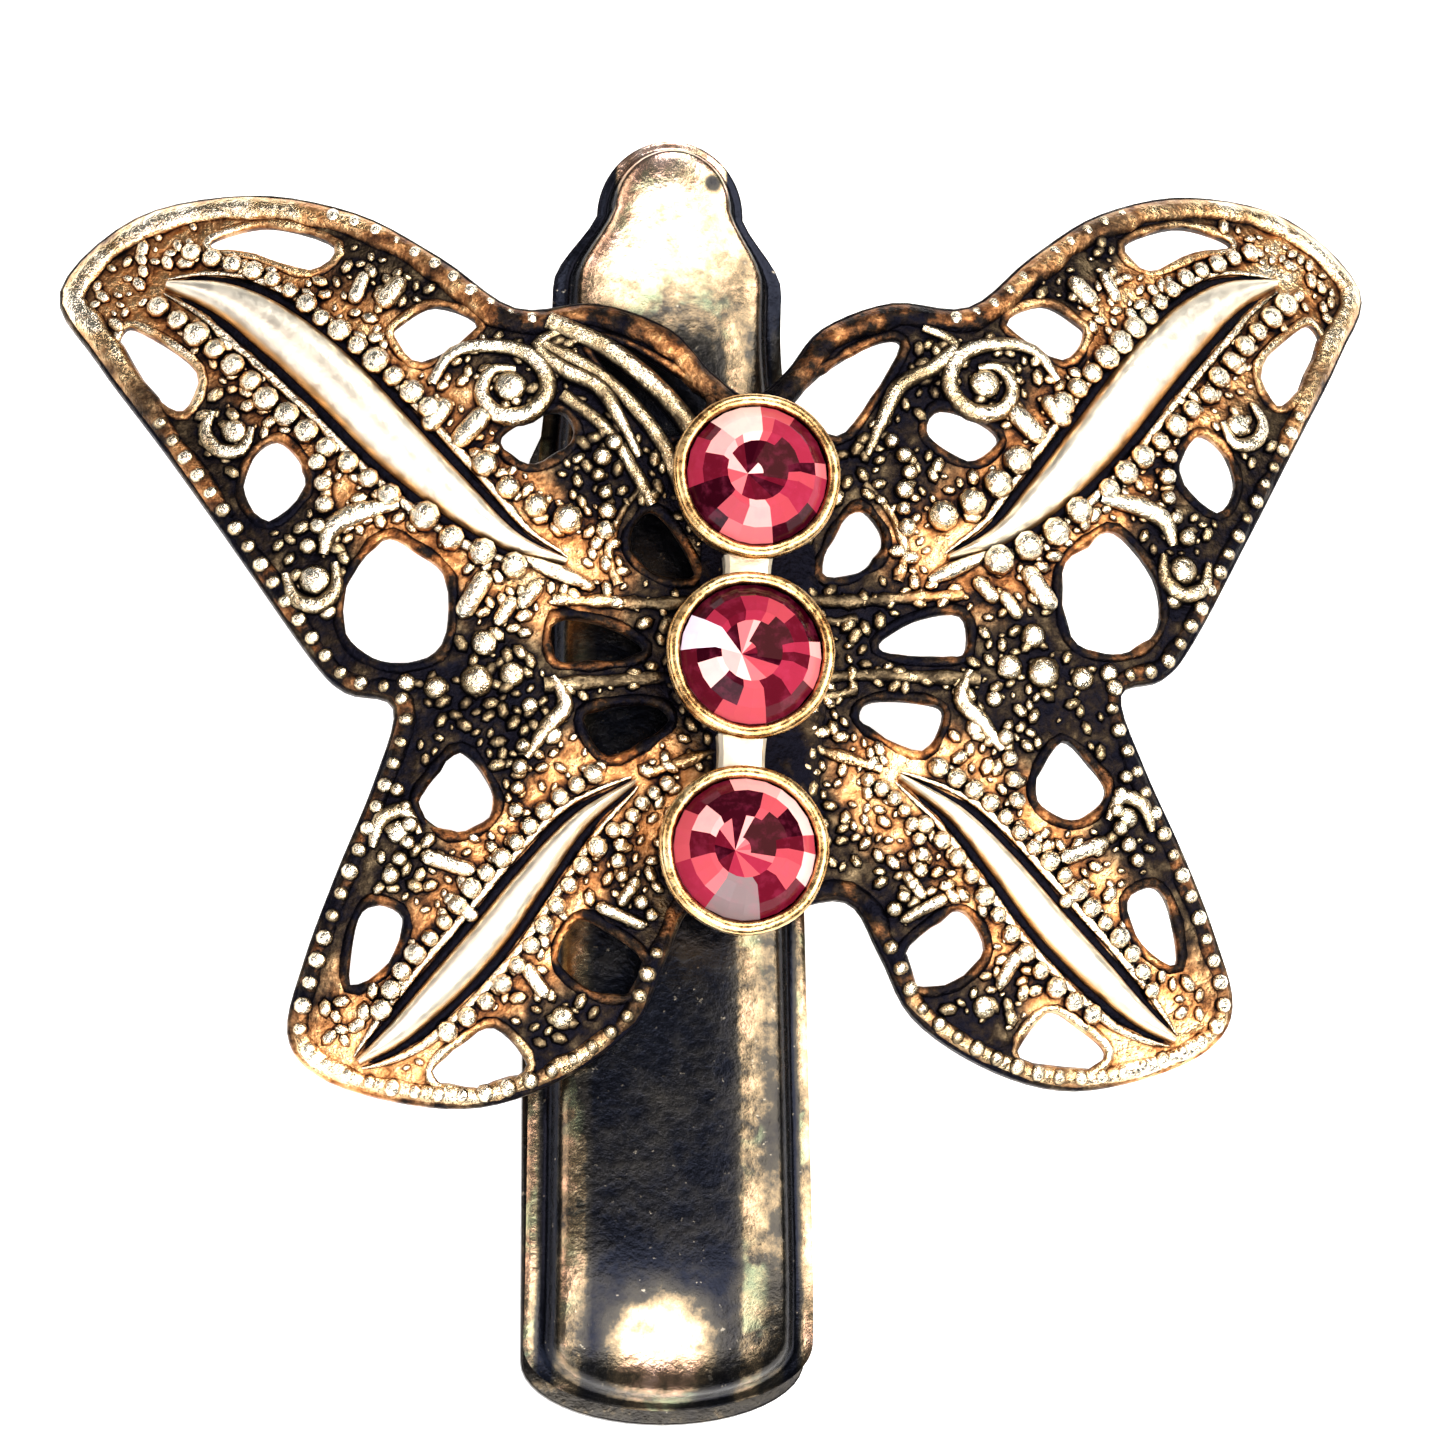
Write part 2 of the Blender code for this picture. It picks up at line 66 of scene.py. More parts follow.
# ---- Stamped arm ----
BEAK_Y = -30.0
TAB_Y = 13.85
PIN_Z = 3.0
CROWN_HINGE_Z = 6.2
ARM_SLOPE = math.radians(5.434)
NOSE_BEND_Y = -24.5
NOSE_DROP = 1.15
TAB_ANGLE = math.radians(22.0)
TAB_BEND_Y = 7.0
TAB_BEND_HALF = 1.5
BEAK_HALF_WIDTH = 5.05
HINGE_HALF_WIDTH = 4.6
TAB_ROOT_HALF_WIDTH = 4.1
TAB_HEAD_RADIUS = 2.5
SHOULDER_TAPER = (1.5, 8.0)
NECK_TAPER = (9.0, 11.8)
NOSE_LENGTH = 2.2
# Across one half of the arm: share of the half width, and depth below the crown.
ARM_SECTION = (
    (0.0, 0.0), (0.15, 0.0), (0.28, 0.0), (0.34, 0.015), (0.4, 0.03), (0.5, 0.065), (0.6, 0.12), (0.7, 0.2),
    (0.76, 0.28), (0.795, 0.4), (0.815, 0.55), (0.835, 0.75), (0.855, 0.92), (0.885, 1.0), (0.93, 1.03),
    (0.97, 1.05), (1.0, 1.1),
)
LOWER_TAB_Y = 12.6
PIN_HOLE_RADIUS = 0.68
EAR_RADIUS = 1.25
UPPER_EAR_X = 3.5
LOWER_EAR_X = 4.3
EAR_HALF_LENGTH = 2.7

# ---- Place of the butterfly and of the stone row ----
SEAT_X = 2.9
SEAT_Y = -4.8
SEAT_TURN = math.radians(1.95)
SEAT_LIFT = 1.4
PLATE = 0.9
FLAT_RADIUS = 8.0
FALL = 0.0125
ROW_U = -0.76
ROW_V = -0.37
ROW_TURN = math.radians(-4.3)
STONE_PLACES = {"top": 6.25, "middle": 0.0, "bottom": -6.7}
GAP = 0.12
# From a cup's axis to the end of a link.
CUP_REACH = 2.55

# ---- Drawing of one wing, mirrored for the other ----
WING_OUTLINE = (
    (1.3, 10.2), (2.7, 11.8), (5.3, 12.8), (8.1, 12.7), (10.6, 14.7), (13.5, 16.6), (17.2, 17.6),
    (21.2, 17.1), (23.9, 14.5), (22.6, 11.6), (20.4, 8.1), (18.1, 4.4), (15.6, 0.4), (14.4, -0.9),
    (12.8, -1.5), (13.5, -4.0), (14.9, -7.2), (16.0, -10.0), (16.6, -12.4), (15.6, -13.9),
    (13.0, -14.9), (10.1, -15.2), (7.2, -14.3), (4.8, -12.6), (3.7, -10.4), (2.6, -8.6),
)
HEAD_V = 9.3
TAIL_V = -8.9
WING_PIERCINGS = (
    ((18.5, 15.6), (18.0, 16.0), (16.3, 16.2), (14.2, 15.3), (15.1, 14.4), (17.0, 15.2)),
    ((9.4, 12.0), (11.4, 10.7), (12.3, 11.7), (12.0, 12.2), (10.8, 12.8)),
    ((8.8, 7.7), (8.1, 8.4), (6.7, 8.8), (6.2, 8.0), (6.8, 7.3), (7.9, 6.9)),
    ((5.5, 11.1), (4.8, 11.3), (3.2, 10.5), (1.5, 9.1), (3.0, 7.8), (4.3, 9.2)),
    ((2.2, 2.9), (3.4, 2.9), (4.3, 3.6), (4.4, 4.4), (3.7, 5.2), (2.9, 4.5)),
    ((12.9, 4.4), (11.8, 3.9), (10.8, 2.9), (11.0, 0.6), (12.2, 0.0), (13.4, 0.2), (14.3, 1.1), (14.2, 2.8)),
    ((16.8, 5.2), (17.6, 6.2), (17.3, 7.5), (16.4, 8.1), (15.6, 7.2), (15.6, 6.2)),
    ((21.6, 12.6), (21.0, 12.6), (19.1, 10.9), (19.6, 9.4), (20.7, 10.2), (21.7, 11.8)),
    ((4.1, 0.4), (4.8, 0.0), (6.4, -0.1), (7.2, 0.1), (7.1, 1.4), (5.4, 1.2)),
    ((3.3, -2.1), (3.9, -2.7), (5.5, -3.4), (6.3, -2.1), (5.6, -1.7), (3.9, -1.6)),
    ((10.5, -3.1), (9.5, -4.4), (9.6, -5.4), (10.7, -5.9), (11.6, -5.5), (12.0, -4.8), (11.5, -4.0)),
    ((14.4, -10.9), (14.2, -9.0), (13.6, -8.2), (12.6, -8.7), (13.1, -10.2)),
    ((6.7, -9.0), (5.8, -9.3), (4.5, -10.4), (4.9, -11.5), (6.3, -11.4), (7.4, -10.3)),
    ((11.7, -13.9), (10.7, -13.0), (9.6, -12.5), (8.5, -13.8), (9.6, -14.6), (11.0, -14.5)),
)
# The two polished leaves: centre line as (u, v, half width).
UPPER_LEAF = (
    (6.7, 3.4, 0.08), (8.6, 4.2, 0.38), (10.5, 5.8, 0.76), (12.5, 7.9, 0.98), (14.6, 10.4, 1.02),
    (16.6, 12.4, 0.9), (18.3, 13.6, 0.6), (20.1, 14.2, 0.16),
)
LOWER_LEAF = (
    (4.6, -4.3, 0.08), (6.5, -5.6, 0.32), (8.1, -7.4, 0.52), (9.7, -9.4, 0.64), (11.3, -11.1, 0.6),
    (12.9, -12.6, 0.4), (14.2, -13.5, 0.12),
)
LEAVES = (UPPER_LEAF, LOWER_LEAF)
# Across a leaf: share of the half width, and share of the height.
LEAF_SECTION = (
    (-1, 0.0), (-0.9, 0.42), (-0.66, 0.72), (-0.2, 0.96), (0.2, 1.0), (0.66, 0.86), (0.88, 0.5), (1.0, 0.0),
)
# Along the body: place and half width.
BODY_SECTIONS = (
    (-8.6, 0.5), (-8.2, 1.0), (-6.5, 1.75), (-4.0, 1.9), (-1.0, 2.3), (2.0, 2.2), (5.0, 1.9),
    (7.6, 1.8), (8.8, 1.3), (9.1, 0.6),
)
# Directions across which the plate is creased, and how far from the middle.
WING_CUTS = (((1, 0, 0), 24.0), ((0, 1, 0), 18.0))
# Rows of beads: radius, spacing, and the points they follow.
BEAD_ROWS = (
    (0.4, 0.98, ((6.6, 4.9), (7.7, 5.4), (8.7, 6.1), (9.4, 6.9))),
    (0.36, 0.8, ((11.2, 9.0), (12.1, 9.9), (13.2, 11.0), (14.2, 12.0))),
    (0.3, 0.72, ((14.8, 12.5), (15.6, 13.4), (16.6, 14.2), (17.8, 14.8), (19.2, 15.4))),
    (0.42, 1.12, ((8.5, 3.3), (9.6, 3.8), (10.6, 4.3), (11.5, 5.1))),
    (0.34, 0.92, ((12.7, 5.9), (13.9, 7.0), (14.9, 7.8), (15.9, 8.8), (16.8, 9.6))),
    (0.36, 0.86, ((17.3, 10.3), (18.5, 11.6), (19.4, 12.5), (20.4, 13.4))),
    (0.28, 0.72, ((6.0, -4.0), (7.2, -4.8), (8.2, -5.7), (9.2, -6.8), (10.2, -7.7), (11.3, -9.0),
                  (12.6, -10.4), (13.4, -11.8))),
    (0.28, 0.74, ((5.4, -6.0), (6.4, -7.0), (7.5, -8.6), (8.6, -10.2), (9.8, -11.6), (11.2, -12.6))),
    (0.26, 0.66, ((15.5, 4.2), (15.0, 5.2), (14.9, 6.2), (15.1, 7.2))),
    (0.24, 0.6, ((8.4, -3.0), (8.6, -4.2), (8.7, -5.2))),
    (0.24, 0.6, ((12.7, -4.4), (12.3, -5.8), (13.0, -7.3))),
    (0.22, 0.55, ((3.5, -4.4), (4.6, -5.3), (5.3, -7.2), (4.2, -8.9))),
    (0.26, 0.62, ((5.3, 4.5), (5.2, 5.6), (5.5, 6.7), (4.9, 7.6))),
)
# Bars with round ends: two ends and a half width.
BARS = (
    (9.2, 8.9, 10.4, 7.6, 0.42), (10.5, 9.3, 11.4, 8.2, 0.4), (7.6, 2.7, 8.4, 1.8, 0.3),
    (9.4, 3.1, 10.4, 1.5, 0.38), (8.5, 2.2, 9.2, 1.2, 0.28), (10.1, -7.3, 12.0, -6.6, 0.3),
    (4.6, -7.6, 5.3, -8.6, 0.26), (4.4, -9.3, 6.1, -8.5, 0.24), (7.8, -11.6, 8.6, -10.4, 0.28),
    (10.1, -8.9, 11.2, -8.0, 0.26), (11.9, 13.9, 12.8, 12.8, 0.4), (13.2, 14.2, 13.7, 13.0, 0.28),
)
# Round bosses: place and radius.
BOSSES = (
    (8.4, 9.7, 0.62), (15.3, 3.0, 0.6), (12.7, -5.8, 0.45), (17.9, 8.5, 0.5), (8.7, -0.5, 0.5),
    (9.9, -0.7, 0.62), (11.3, -0.9, 0.46), (12.3, -0.7, 0.36), (9.6, 0.6, 0.5), (7.3, -12.3, 0.45),
    (7.4, -2.6, 0.4), (8.1, -1.6, 0.34), (12.4, 13.2, 0.42), (14.9, 1.9, 0.34),
)
# Raised wires: half width, and the points they follow.
SCROLLS = (
    (0.26, ((11.1, 9.9), (10.3, 11.0), (8.8, 11.2), (7.5, 10.7), (7.1, 9.6), (7.8, 8.7), (8.9, 8.7),
            (9.4, 9.5), (9.0, 10.3), (8.2, 10.3))),
    (0.3, ((12.4, 5.6), (13.8, 5.3), (14.7, 4.8), (15.0, 3.9))),
    (0.24, ((6.3, 11.8), (7.4, 11.2), (6.6, 10.3), (5.3, 9.6), (4.6, 8.3), (4.0, 7.1))),
    (0.24, ((16.3, 3.3), (16.0, 2.4), (15.2, 2.1), (14.6, 2.7), (14.6, 3.6))),
    (0.22, ((18.6, 9.3), (18.9, 8.6), (18.5, 7.9), (17.7, 7.8), (17.3, 8.6))),
    (0.22, ((13.6, -6.3), (13.3, -5.4), (12.5, -5.1), (12.0, -5.9))),
    (0.22, ((6.0, 2.6), (6.9, 3.0), (8.2, 3.6))),
    (0.24, ((7.3, -0.6), (6.9, -1.6), (7.6, -2.4), (8.3, -3.4))),
)
# Struts from the body to the wing, between the piercings: half width, and the points they follow.
STRUTS = (
    (0.3, ((1.6, 2.0), (3.2, 1.9), (5.2, 2.0), (7.2, 2.1))),
    (0.24, ((1.6, 1.3), (2.6, 1.2), (3.4, 1.3))),
    (0.3, ((1.6, -0.8), (3.6, -0.7), (5.6, -0.8), (7.6, -0.9))),
    (0.24, ((1.6, -1.5), (2.6, -1.4), (3.2, -1.2))),
    (0.26, ((1.8, -3.3), (2.8, -3.6), (4.0, -4.0))),
    (0.22, ((1.6, 4.2), (2.0, 5.2), (2.6, 6.1))),
    (0.22, ((4.9, 2.6), (5.2, 3.7), (4.8, 5.0), (3.9, 6.1))),
)
# Bands beside the head, on the left only: half width, and the points they follow.
HEAD_BANDS = (
    (0.42, ((-7.0, 12.1), (-5.2, 11.2), (-3.6, 9.9), (-2.3, 8.3), (-1.7, 6.8))),
    (0.34, ((-7.2, 11.2), (-5.6, 10.3), (-4.2, 9.0), (-3.1, 7.4), (-2.6, 5.9))),
    (0.3, ((-6.6, 9.4), (-5.2, 8.2), (-4.2, 6.6), (-3.6, 5.4))),
)



# ---- Sockets that take part in arithmetic ----
class Value:
    """An output socket of a node tree; arithmetic on it adds Math nodes."""

    def __init__(self, graph, socket):
        self.graph = graph
        self.socket = socket

    def math(self, operation, first, second, clamp=False):
        settings = {"operation": operation, "use_clamp": clamp}
        return self.graph.node("ShaderNodeMath", settings, {0: first, 1: second})

    def __add__(self, other):
        return self.math("ADD", self, other)

    def __sub__(self, other):
        return self.math("SUBTRACT", self, other)

    def __rsub__(self, other):
        return self.math("SUBTRACT", other, self)

    def __mul__(self, other):
        return self.math("MULTIPLY", self, other)

    def __truediv__(self, other):
        return self.math("DIVIDE", self, other)

    def clamped(self):
        return self.math("ADD", self, 0.0, clamp=True)


class Graph:
    """A node tree, and one way to add any node to it."""

    def __init__(self, tree):
        self.tree = tree

    def fill(self, inputs, sockets):
        for name, value in sockets.items():
            if isinstance(value, Value):
                self.tree.links.new(value.socket, inputs[name])
            else:
                inputs[name].default_value = value

    def node(self, kind, settings=None, sockets=None, out=0):
        made = self.tree.nodes.new(kind)
        for name, value in (settings or {}).items():
            setattr(made, name, value)
        self.fill(made.inputs, sockets or {})
        return Value(self, made.outputs[out])


class Finish(Graph):
    """A material with a Principled shader, patterned in its object's own space."""

    def __init__(self, name):
        self.material = bpy.data.materials.new(name)
        self.material.use_nodes = True
        super().__init__(self.material.node_tree)
        self.shader = self.tree.nodes["Principled BSDF"]
        self.place = self.node("ShaderNodeTexCoord", out=3)
        self.looks = bpy.context.scene.clip_looks

    def noise(self, size_mm, detail=3.0, roughness=0.5, distortion=0.0):
        sockets = {
            "Vector": self.place, "Scale": 1 / (size_mm * MM), "Detail": detail, "Roughness": roughness,
            "Distortion": distortion,
        }
        return self.node("ShaderNodeTexNoise", None, sockets)

    def attribute(self, name, out=2):
        return self.node("ShaderNodeAttribute", {"attribute_name": name}, None, out)

    def openness(self, reach_mm):
        """How open a place is to its surroundings, from 0 in a crevice to 1."""
        sockets = {"Distance": reach_mm * MM}
        return self.node("ShaderNodeAmbientOcclusion", {"samples": 8}, sockets, out=1)

    def blend(self, factor, low, high):
        """Mix two colours; a colour may be a socket or three numbers."""
        pair = [c if isinstance(c, Value) else (*c, 1.0) for c in (low, high)]
        settings = {"data_type": "RGBA", "blend_type": "MIX"}
        return self.node("ShaderNodeMix", settings, {0: factor, 6: pair[0], 7: pair[1]}, out=2)

    def span(self, value, low, high, to_low=0.0, to_high=1.0):
        """Map a stretch of a value smoothly onto another."""
        sockets = {0: value, 1: low, 2: high, 3: to_low, 4: to_high}
        return self.node("ShaderNodeMapRange", {"interpolation_type": "SMOOTHSTEP"}, sockets)

    def ramp(self, value, *stops):
        """Colours along a value, each stop a place and a colour."""
        made = self.node("ShaderNodeValToRGB", None, {0: value})
        elements = made.socket.node.color_ramp.elements
        while len(elements) < len(stops):
            elements.new(0.5)
        for element, (place, colour) in zip(elements, stops):
            element.position = place
            element.color = (*colour, 1.0)
        return made

    def set(self, **sockets):
        self.fill(self.shader.inputs, {name.replace("_", " "): value for name, value in sockets.items()})
        return self.material

    def metal(self, colour, rough, height, depth_mm, strength=1.0):
        """Bare metal with small bumps."""
        self.set(Base_Color=colour, Metallic=1.0, Roughness=rough)
        sockets = {"Height": height, "Distance": depth_mm * MM, "Strength": strength}
        return self.set(Normal=self.node("ShaderNodeBump", None, sockets))


# ---- Materials ----
def relief_brass():
    """Cast brass blackened in its recesses, coppery on low ground and worn bright on top; where a piece's
    rise holds painted light, this colour shows it too: a painted reflection on the rims' lowest edges and
    painted shade on the body and its struts.
    """
    made = Finish("antique_brass_relief")
    rise, warm = made.attribute("rise"), made.attribute("warm")
    broad, fine, grit = made.noise(3.2, 4.0, 0.6), made.noise(0.7, 4.0, 0.65), made.noise(0.22, 3.0, 0.6)
    hollow = made.openness(0.6)
    wear = rise * 0.8 + (broad - 0.5) * 0.9 + (fine - 0.5) * 0.9
    wear = wear + warm * 0.48 + (hollow - 0.8) * 0.7 + 0.02
    brass, worn = tuple(made.looks.brass), tuple(made.looks.worn_brass)
    low = ((0.1, (0.005, 0.005, 0.009)), (0.26, (0.02, 0.014, 0.01)))
    copper = (0.38, (0.24, 0.08, 0.025)), (0.5, (0.62, 0.27, 0.09)), (0.68, brass), (0.94, worn)
    olive = (0.4, (0.07, 0.05, 0.03)), (0.54, (0.22, 0.16, 0.09)), (0.7, (0.5, 0.38, 0.22)), (0.92, worn)
    ramps = [made.ramp(wear.clamped(), *low, *high) for high in (olive, copper)]
    colour = made.blend(made.span(warm + (broad - 0.5) * 0.8, 0.2, 0.75), *ramps)
    colour = made.blend(made.span(hollow, 0.35, 0.8), (0.006, 0.005, 0.008), colour)
    rough = made.span(wear, 0.2, 0.8, 0.5, 0.18) + (grit - 0.5) * 0.2
    return made.metal(colour, rough, fine * 0.75 + grit * 0.25, 0.24, 0.9)


def leaf_brass():
    """The polished leaf blades and the links, nearly free of the dark finish."""
    made = Finish("polished_leaf_brass")
    rise, fine, broad = made.attribute("rise"), made.noise(0.6, 3.0, 0.6), made.noise(2.2, 2.0)
    wear = rise + (fine - 0.5) * 0.16 + (broad - 0.5) * 0.25
    colour = made.ramp(
        wear.clamped(), (0.1, (0.03, 0.012, 0.008)), (0.4, (0.5, 0.2, 0.06)), (0.62, (0.9, 0.56, 0.26)),
        (0.8, (1.0, 0.93, 0.78)),
    )
    return made.metal(colour, made.span(fine, 0.3, 0.7, 0.36, 0.5), fine, 0.03)


def arm_brass():
    """The stamped arm: mottled dark patina, worn through on the tab and along the edges, with painted
    highlights on the nose and shoulders and painted shade along the side walls.
    """
    made = Finish("mottled_arm_brass")
    rubbed_and_lit, broad = made.attribute("rubbed_and_lit"), made.noise(3.0, 5.0, 0.62, 0.4)
    fine, fleck = made.noise(0.7, 5.0, 0.7), made.noise(0.3, 2.0, 0.6)
    # This wear also carries the arm's painted highlights and painted shade.
    wear = rubbed_and_lit + (broad - 0.5) * (rubbed_and_lit * 0.6 + 0.3) + (fine - 0.5) * (rubbed_and_lit * 0.85 + 0.2)
    colour = made.ramp(
        wear.clamped(), (0.08, (0.008, 0.009, 0.014)), (0.3, (0.035, 0.032, 0.028)),
        (0.42, (0.16, 0.12, 0.075)), (0.55, (0.46, 0.29, 0.19)), (0.7, (0.84, 0.58, 0.47)),
        (0.86, (0.98, 0.88, 0.8)),
    )
    green = made.span(made.noise(1.9, 3.0, 0.6, 0.8), 0.52, 0.66)
    stained = made.span(rubbed_and_lit, 0.3, 0.5) * (1.0 - made.span(rubbed_and_lit, 0.56, 0.72))
    colour = made.blend(green * stained * 0.6, colour, (0.3, 0.36, 0.22))
    colour = made.blend(made.span(fleck, 0.68, 0.76) * 0.45, colour, (0.34, 0.3, 0.24))
    rough = made.span(wear, 0.1, 0.8, 0.26, 0.2) + (fine - 0.5) * 0.2
    return made.metal(colour, rough, fine * 0.7 + fleck * 0.3, 0.045)


def cup_gold():
    """Gilt cup metal with brown tarnish in patches."""
    made = Finish("gilt_cup_metal")
    broad, fine, hollow = made.noise(1.6, 4.0, 0.6), made.noise(0.3, 3.0, 0.6), made.openness(0.5)
    colour = made.ramp(
        (broad * 0.9 + fine * 0.6 + hollow * 0.5 - 0.66).clamped(), (0.14, (0.04, 0.018, 0.008)),
        (0.42, (0.32, 0.15, 0.05)), (0.62, tuple(made.looks.gilt)), (0.86, (0.98, 0.78, 0.46)),
    )
    return made.metal(colour, made.span(fine, 0.3, 0.7, 0.18, 0.34), fine, 0.02)


def rose_glass():
    """Foiled rose glass: each of its facets shows its own share of the colour, painted as a reflection of
    the foiled pavilion, under a clear coat.
    """
    made = Finish("rose_foiled_glass")
    painted_facet_reflection, haze = made.attribute("painted_facet_reflection", 0), made.noise(0.5, 3.0, 0.6)
    colour = made.blend(made.span(haze, 0.45, 0.7, 0.0, 0.1), painted_facet_reflection, tuple(made.looks.rose))
    return made.set(
        Base_Color=colour, Metallic=0.0, Roughness=0.5, Specular_IOR_Level=0.0, Coat_Weight=0.35,
        Coat_Roughness=0.02,
    )


def wire_steel():
    """Drawn spring wire and rivet metal, grey with brown stain."""
    made = Finish("drawn_wire_steel")
    broad, fine = made.noise(1.8, 4.0, 0.6), made.noise(0.2, 3.0, 0.6)
    colour = made.blend(made.span(broad, 0.4, 0.7), tuple(made.looks.steel), (0.16, 0.12, 0.08))
    return made.metal(colour, made.span(fine, 0.3, 0.7, 0.2, 0.42), fine, 0.012)


def solder_grey():
    """Dull grey solder with a grainy skin."""
    made = Finish("grey_solder")
    broad, fine = made.noise(1.2, 4.0, 0.6), made.noise(0.18, 3.0, 0.7)
    colour = made.blend(broad, (0.2, 0.19, 0.18), (0.46, 0.44, 0.42))
    return made.metal(colour, made.span(fine, 0.3, 0.7, 0.35, 0.6), fine, 0.03)


def floor_paint():
    """The plain pale table top."""
    made = Finish("pale_table")
    colour = made.blend(made.noise(60.0, 2.0), (0.9, 0.9, 0.9), (0.93, 0.93, 0.93))
    return made.set(Base_Color=colour, Roughness=0.7, Emission_Color=colour, Emission_Strength=0.85)


FINISHES = {
    "relief": relief_brass, "leaf": leaf_brass, "arm": arm_brass, "cup": cup_gold,
    "glass": rose_glass, "steel": wire_steel, "solder": solder_grey, "floor": floor_paint,
}


def finish(name):
    """The named finish, made once."""
    key = "finish_" + name
    scene = bpy.context.scene
    if key not in scene:
        scene[key] = FINISHES[name]()
    return scene[key]


# ---- Shapes ----
def smoothstep(low, high, value):
    share = min(max((value - low) / (high - low), 0.0), 1.0)
    return share * share * (3 - 2 * share)


def crown_height(y):
    """Height of the upper arm's crown along the clip."""
    rise = math.tan(ARM_SLOPE)
    extra = math.tan(TAB_ANGLE) - rise
    past = y - TAB_BEND_Y
    if past > TAB_BEND_HALF:
        bend = extra * past
    elif past > -TAB_BEND_HALF:
        bend = extra * (past + TAB_BEND_HALF) ** 2 / (4 * TAB_BEND_HALF)
    else:
        bend = -NOSE_DROP * (max(0.0, NOSE_BEND_Y - y) / (NOSE_BEND_Y - BEAK_Y)) ** 2
    return CROWN_HINGE_Z + rise * y + bend


def arm_half_width(y):
    """Half the width of the upper arm: a long taper, a waisted tab and its round head."""
    taper = HINGE_HALF_WIDTH + (BEAK_HALF_WIDTH - HINGE_HALF_WIDTH) * min(y, 0.0) / BEAK_Y
    shoulder = taper + (TAB_ROOT_HALF_WIDTH - taper) * smoothstep(*SHOULDER_TAPER, y)
    return shoulder + (TAB_HEAD_RADIUS - TAB_ROOT_HALF_WIDTH) * smoothstep(*NECK_TAPER, y)


SEAT = (
    Matrix.Translation((SEAT_X, SEAT_Y, crown_height(SEAT_Y) + SEAT_LIFT))
    @ Matrix.Rotation(ARM_SLOPE, 4, "X")
    @ Matrix.Rotation(SEAT_TURN, 4, "Z")
)
ROW = SEAT @ Matrix.Translation((ROW_U, ROW_V, PLATE)) @ Matrix.Rotation(ROW_TURN, 4, "Z")


def lay(point):
    """From the flat drawing of the butterfly to its place on the clip."""
    u, v, height = point
    fall = FALL * max(0.0, math.hypot(u, v) - FLAT_RADIUS) ** 2
    ripple = 0.05 * noise.noise((u * 0.4, v * 0.4, 0.0))
    return SEAT @ Vector((u, v, height - fall + ripple))


def leaf_gap(u, v):
    """Distance from a place on the wings to the edge of the nearest leaf; less than zero on a leaf."""
    u = abs(u)
    least = 99.0
    for leaf in LEAVES:
        for a, b in zip(leaf, leaf[1:]):
            side = (b[0] - a[0], b[1] - a[1])
            share = ((u - a[0]) * side[0] + (v - a[1]) * side[1]) / (side[0] ** 2 + side[1] ** 2)
            share = min(max(share, 0.0), 1.0)
            away = math.hypot(u - a[0] - share * side[0], v - a[1] - share * side[1])
            least = min(least, away - a[2] - share * (b[2] - a[2]))
    return least


def near_leaves(u, v):
    """How close a place on the wings is to a leaf, from 0 to 1."""
    return math.exp(-(((max(leaf_gap(u, v), 0.0) + 0.4) / 2.8) ** 2))


class Shape:
    """Vertices and faces in millimetres, with how far each vertex stands up to wear."""

    def __init__(self):
        self.points = []
        self.faces = []
        self.rise = []

    def loft(self, rows, rises, ring=False):
        """Join rows of points, each a closed loop; the ends are capped unless the rows make a ring."""
        first = len(self.points)
        count = len(rows[0])
        for row, rise in zip(rows, rises):
            self.points += [tuple(p) for p in row]
            self.rise += list(rise)
        total = len(rows)
        for i in range(total if ring else total - 1):
            low = first + i * count
            high = first + (i + 1) % total * count
            for j in range(count):
                k = (j + 1) % count
                self.faces.append((low + j, low + k, high + k, high + j))
        if not ring:
            self.faces.append(tuple(first + j for j in reversed(range(count))))
            self.faces.append(tuple(first + (total - 1) * count + j for j in range(count)))

    def dome(self, centre, radius, height, steps=6, sides=16, low=0.3):
        """A boss: half a ball, closed below."""
        u, v, w = centre
        rows, rises = [], []
        for i in range(steps + 1):
            turn = math.pi / 2 * i / steps
            reach = max(radius * math.cos(turn), radius * 0.02)
            up = w + height * math.sin(turn)
            ring = [2 * math.pi * j / sides for j in range(sides)]
            rows.append([(u + reach * math.cos(a), v + reach * math.sin(a), up) for a in ring])
            rises.append([low + (1 - low) * math.sin(turn)] * sides)
        self.loft([[(x, y, w - 0.3) for x, y, _ in rows[0]]] + rows, [rises[0]] + rises)

    def mesh(self, name, mirror=False):
        made = bpy.data.meshes.new(name)
        points, faces, rise = self.points, self.faces, self.rise
        if mirror:
            first = len(points)
            points = points + [(-u, v, w) for u, v, w in points]
            faces = faces + [tuple(first + i for i in reversed(face)) for face in faces]
            rise = rise + rise
        made.from_pydata(points, [], faces)
        store(made, "rise", rise)
        tidy_normals(made)
        return made


def tidy_normals(mesh, merge=0.0):
    """Turn the faces outward, after joining points closer together than the merge distance."""
    bm = bmesh.new()
    bm.from_mesh(mesh)
    if merge:
        bmesh.ops.remove_doubles(bm, verts=bm.verts, dist=merge)
    bmesh.ops.recalc_face_normals(bm, faces=bm.faces)
    bm.to_mesh(mesh)
    bm.free()


def store(mesh, name, values):
    """Keep one number for each vertex."""
    layer = mesh.attributes.get(name) or mesh.attributes.new(name, "FLOAT", "POINT")
    layer.data.foreach_set("value", values)


def curved(points, per, ring=False):
    """A smooth line through points of any size, by Catmull and Rom."""
    total = len(points)
    line = []
    for i in range(total if ring else total - 1):
        if ring:
            near = [points[(i + k) % total] for k in (-1, 0, 1, 2)]
        else:
            near = [points[min(max(i + k, 0), total - 1)] for k in (-1, 0, 1, 2)]
        for step in range(per):
            t = step / per
            weights = (
                (-t + 2 * t * t - t**3) / 2, (2 - 5 * t * t + 3 * t**3) / 2,
                (t + 4 * t * t - 3 * t**3) / 2, (-t * t + t**3) / 2,
            )
            line.append(tuple(sum(w * p[k] for w, p in zip(weights, near)) for k in range(len(points[0]))))
    if not ring:
        line.append(tuple(points[-1]))
    return line


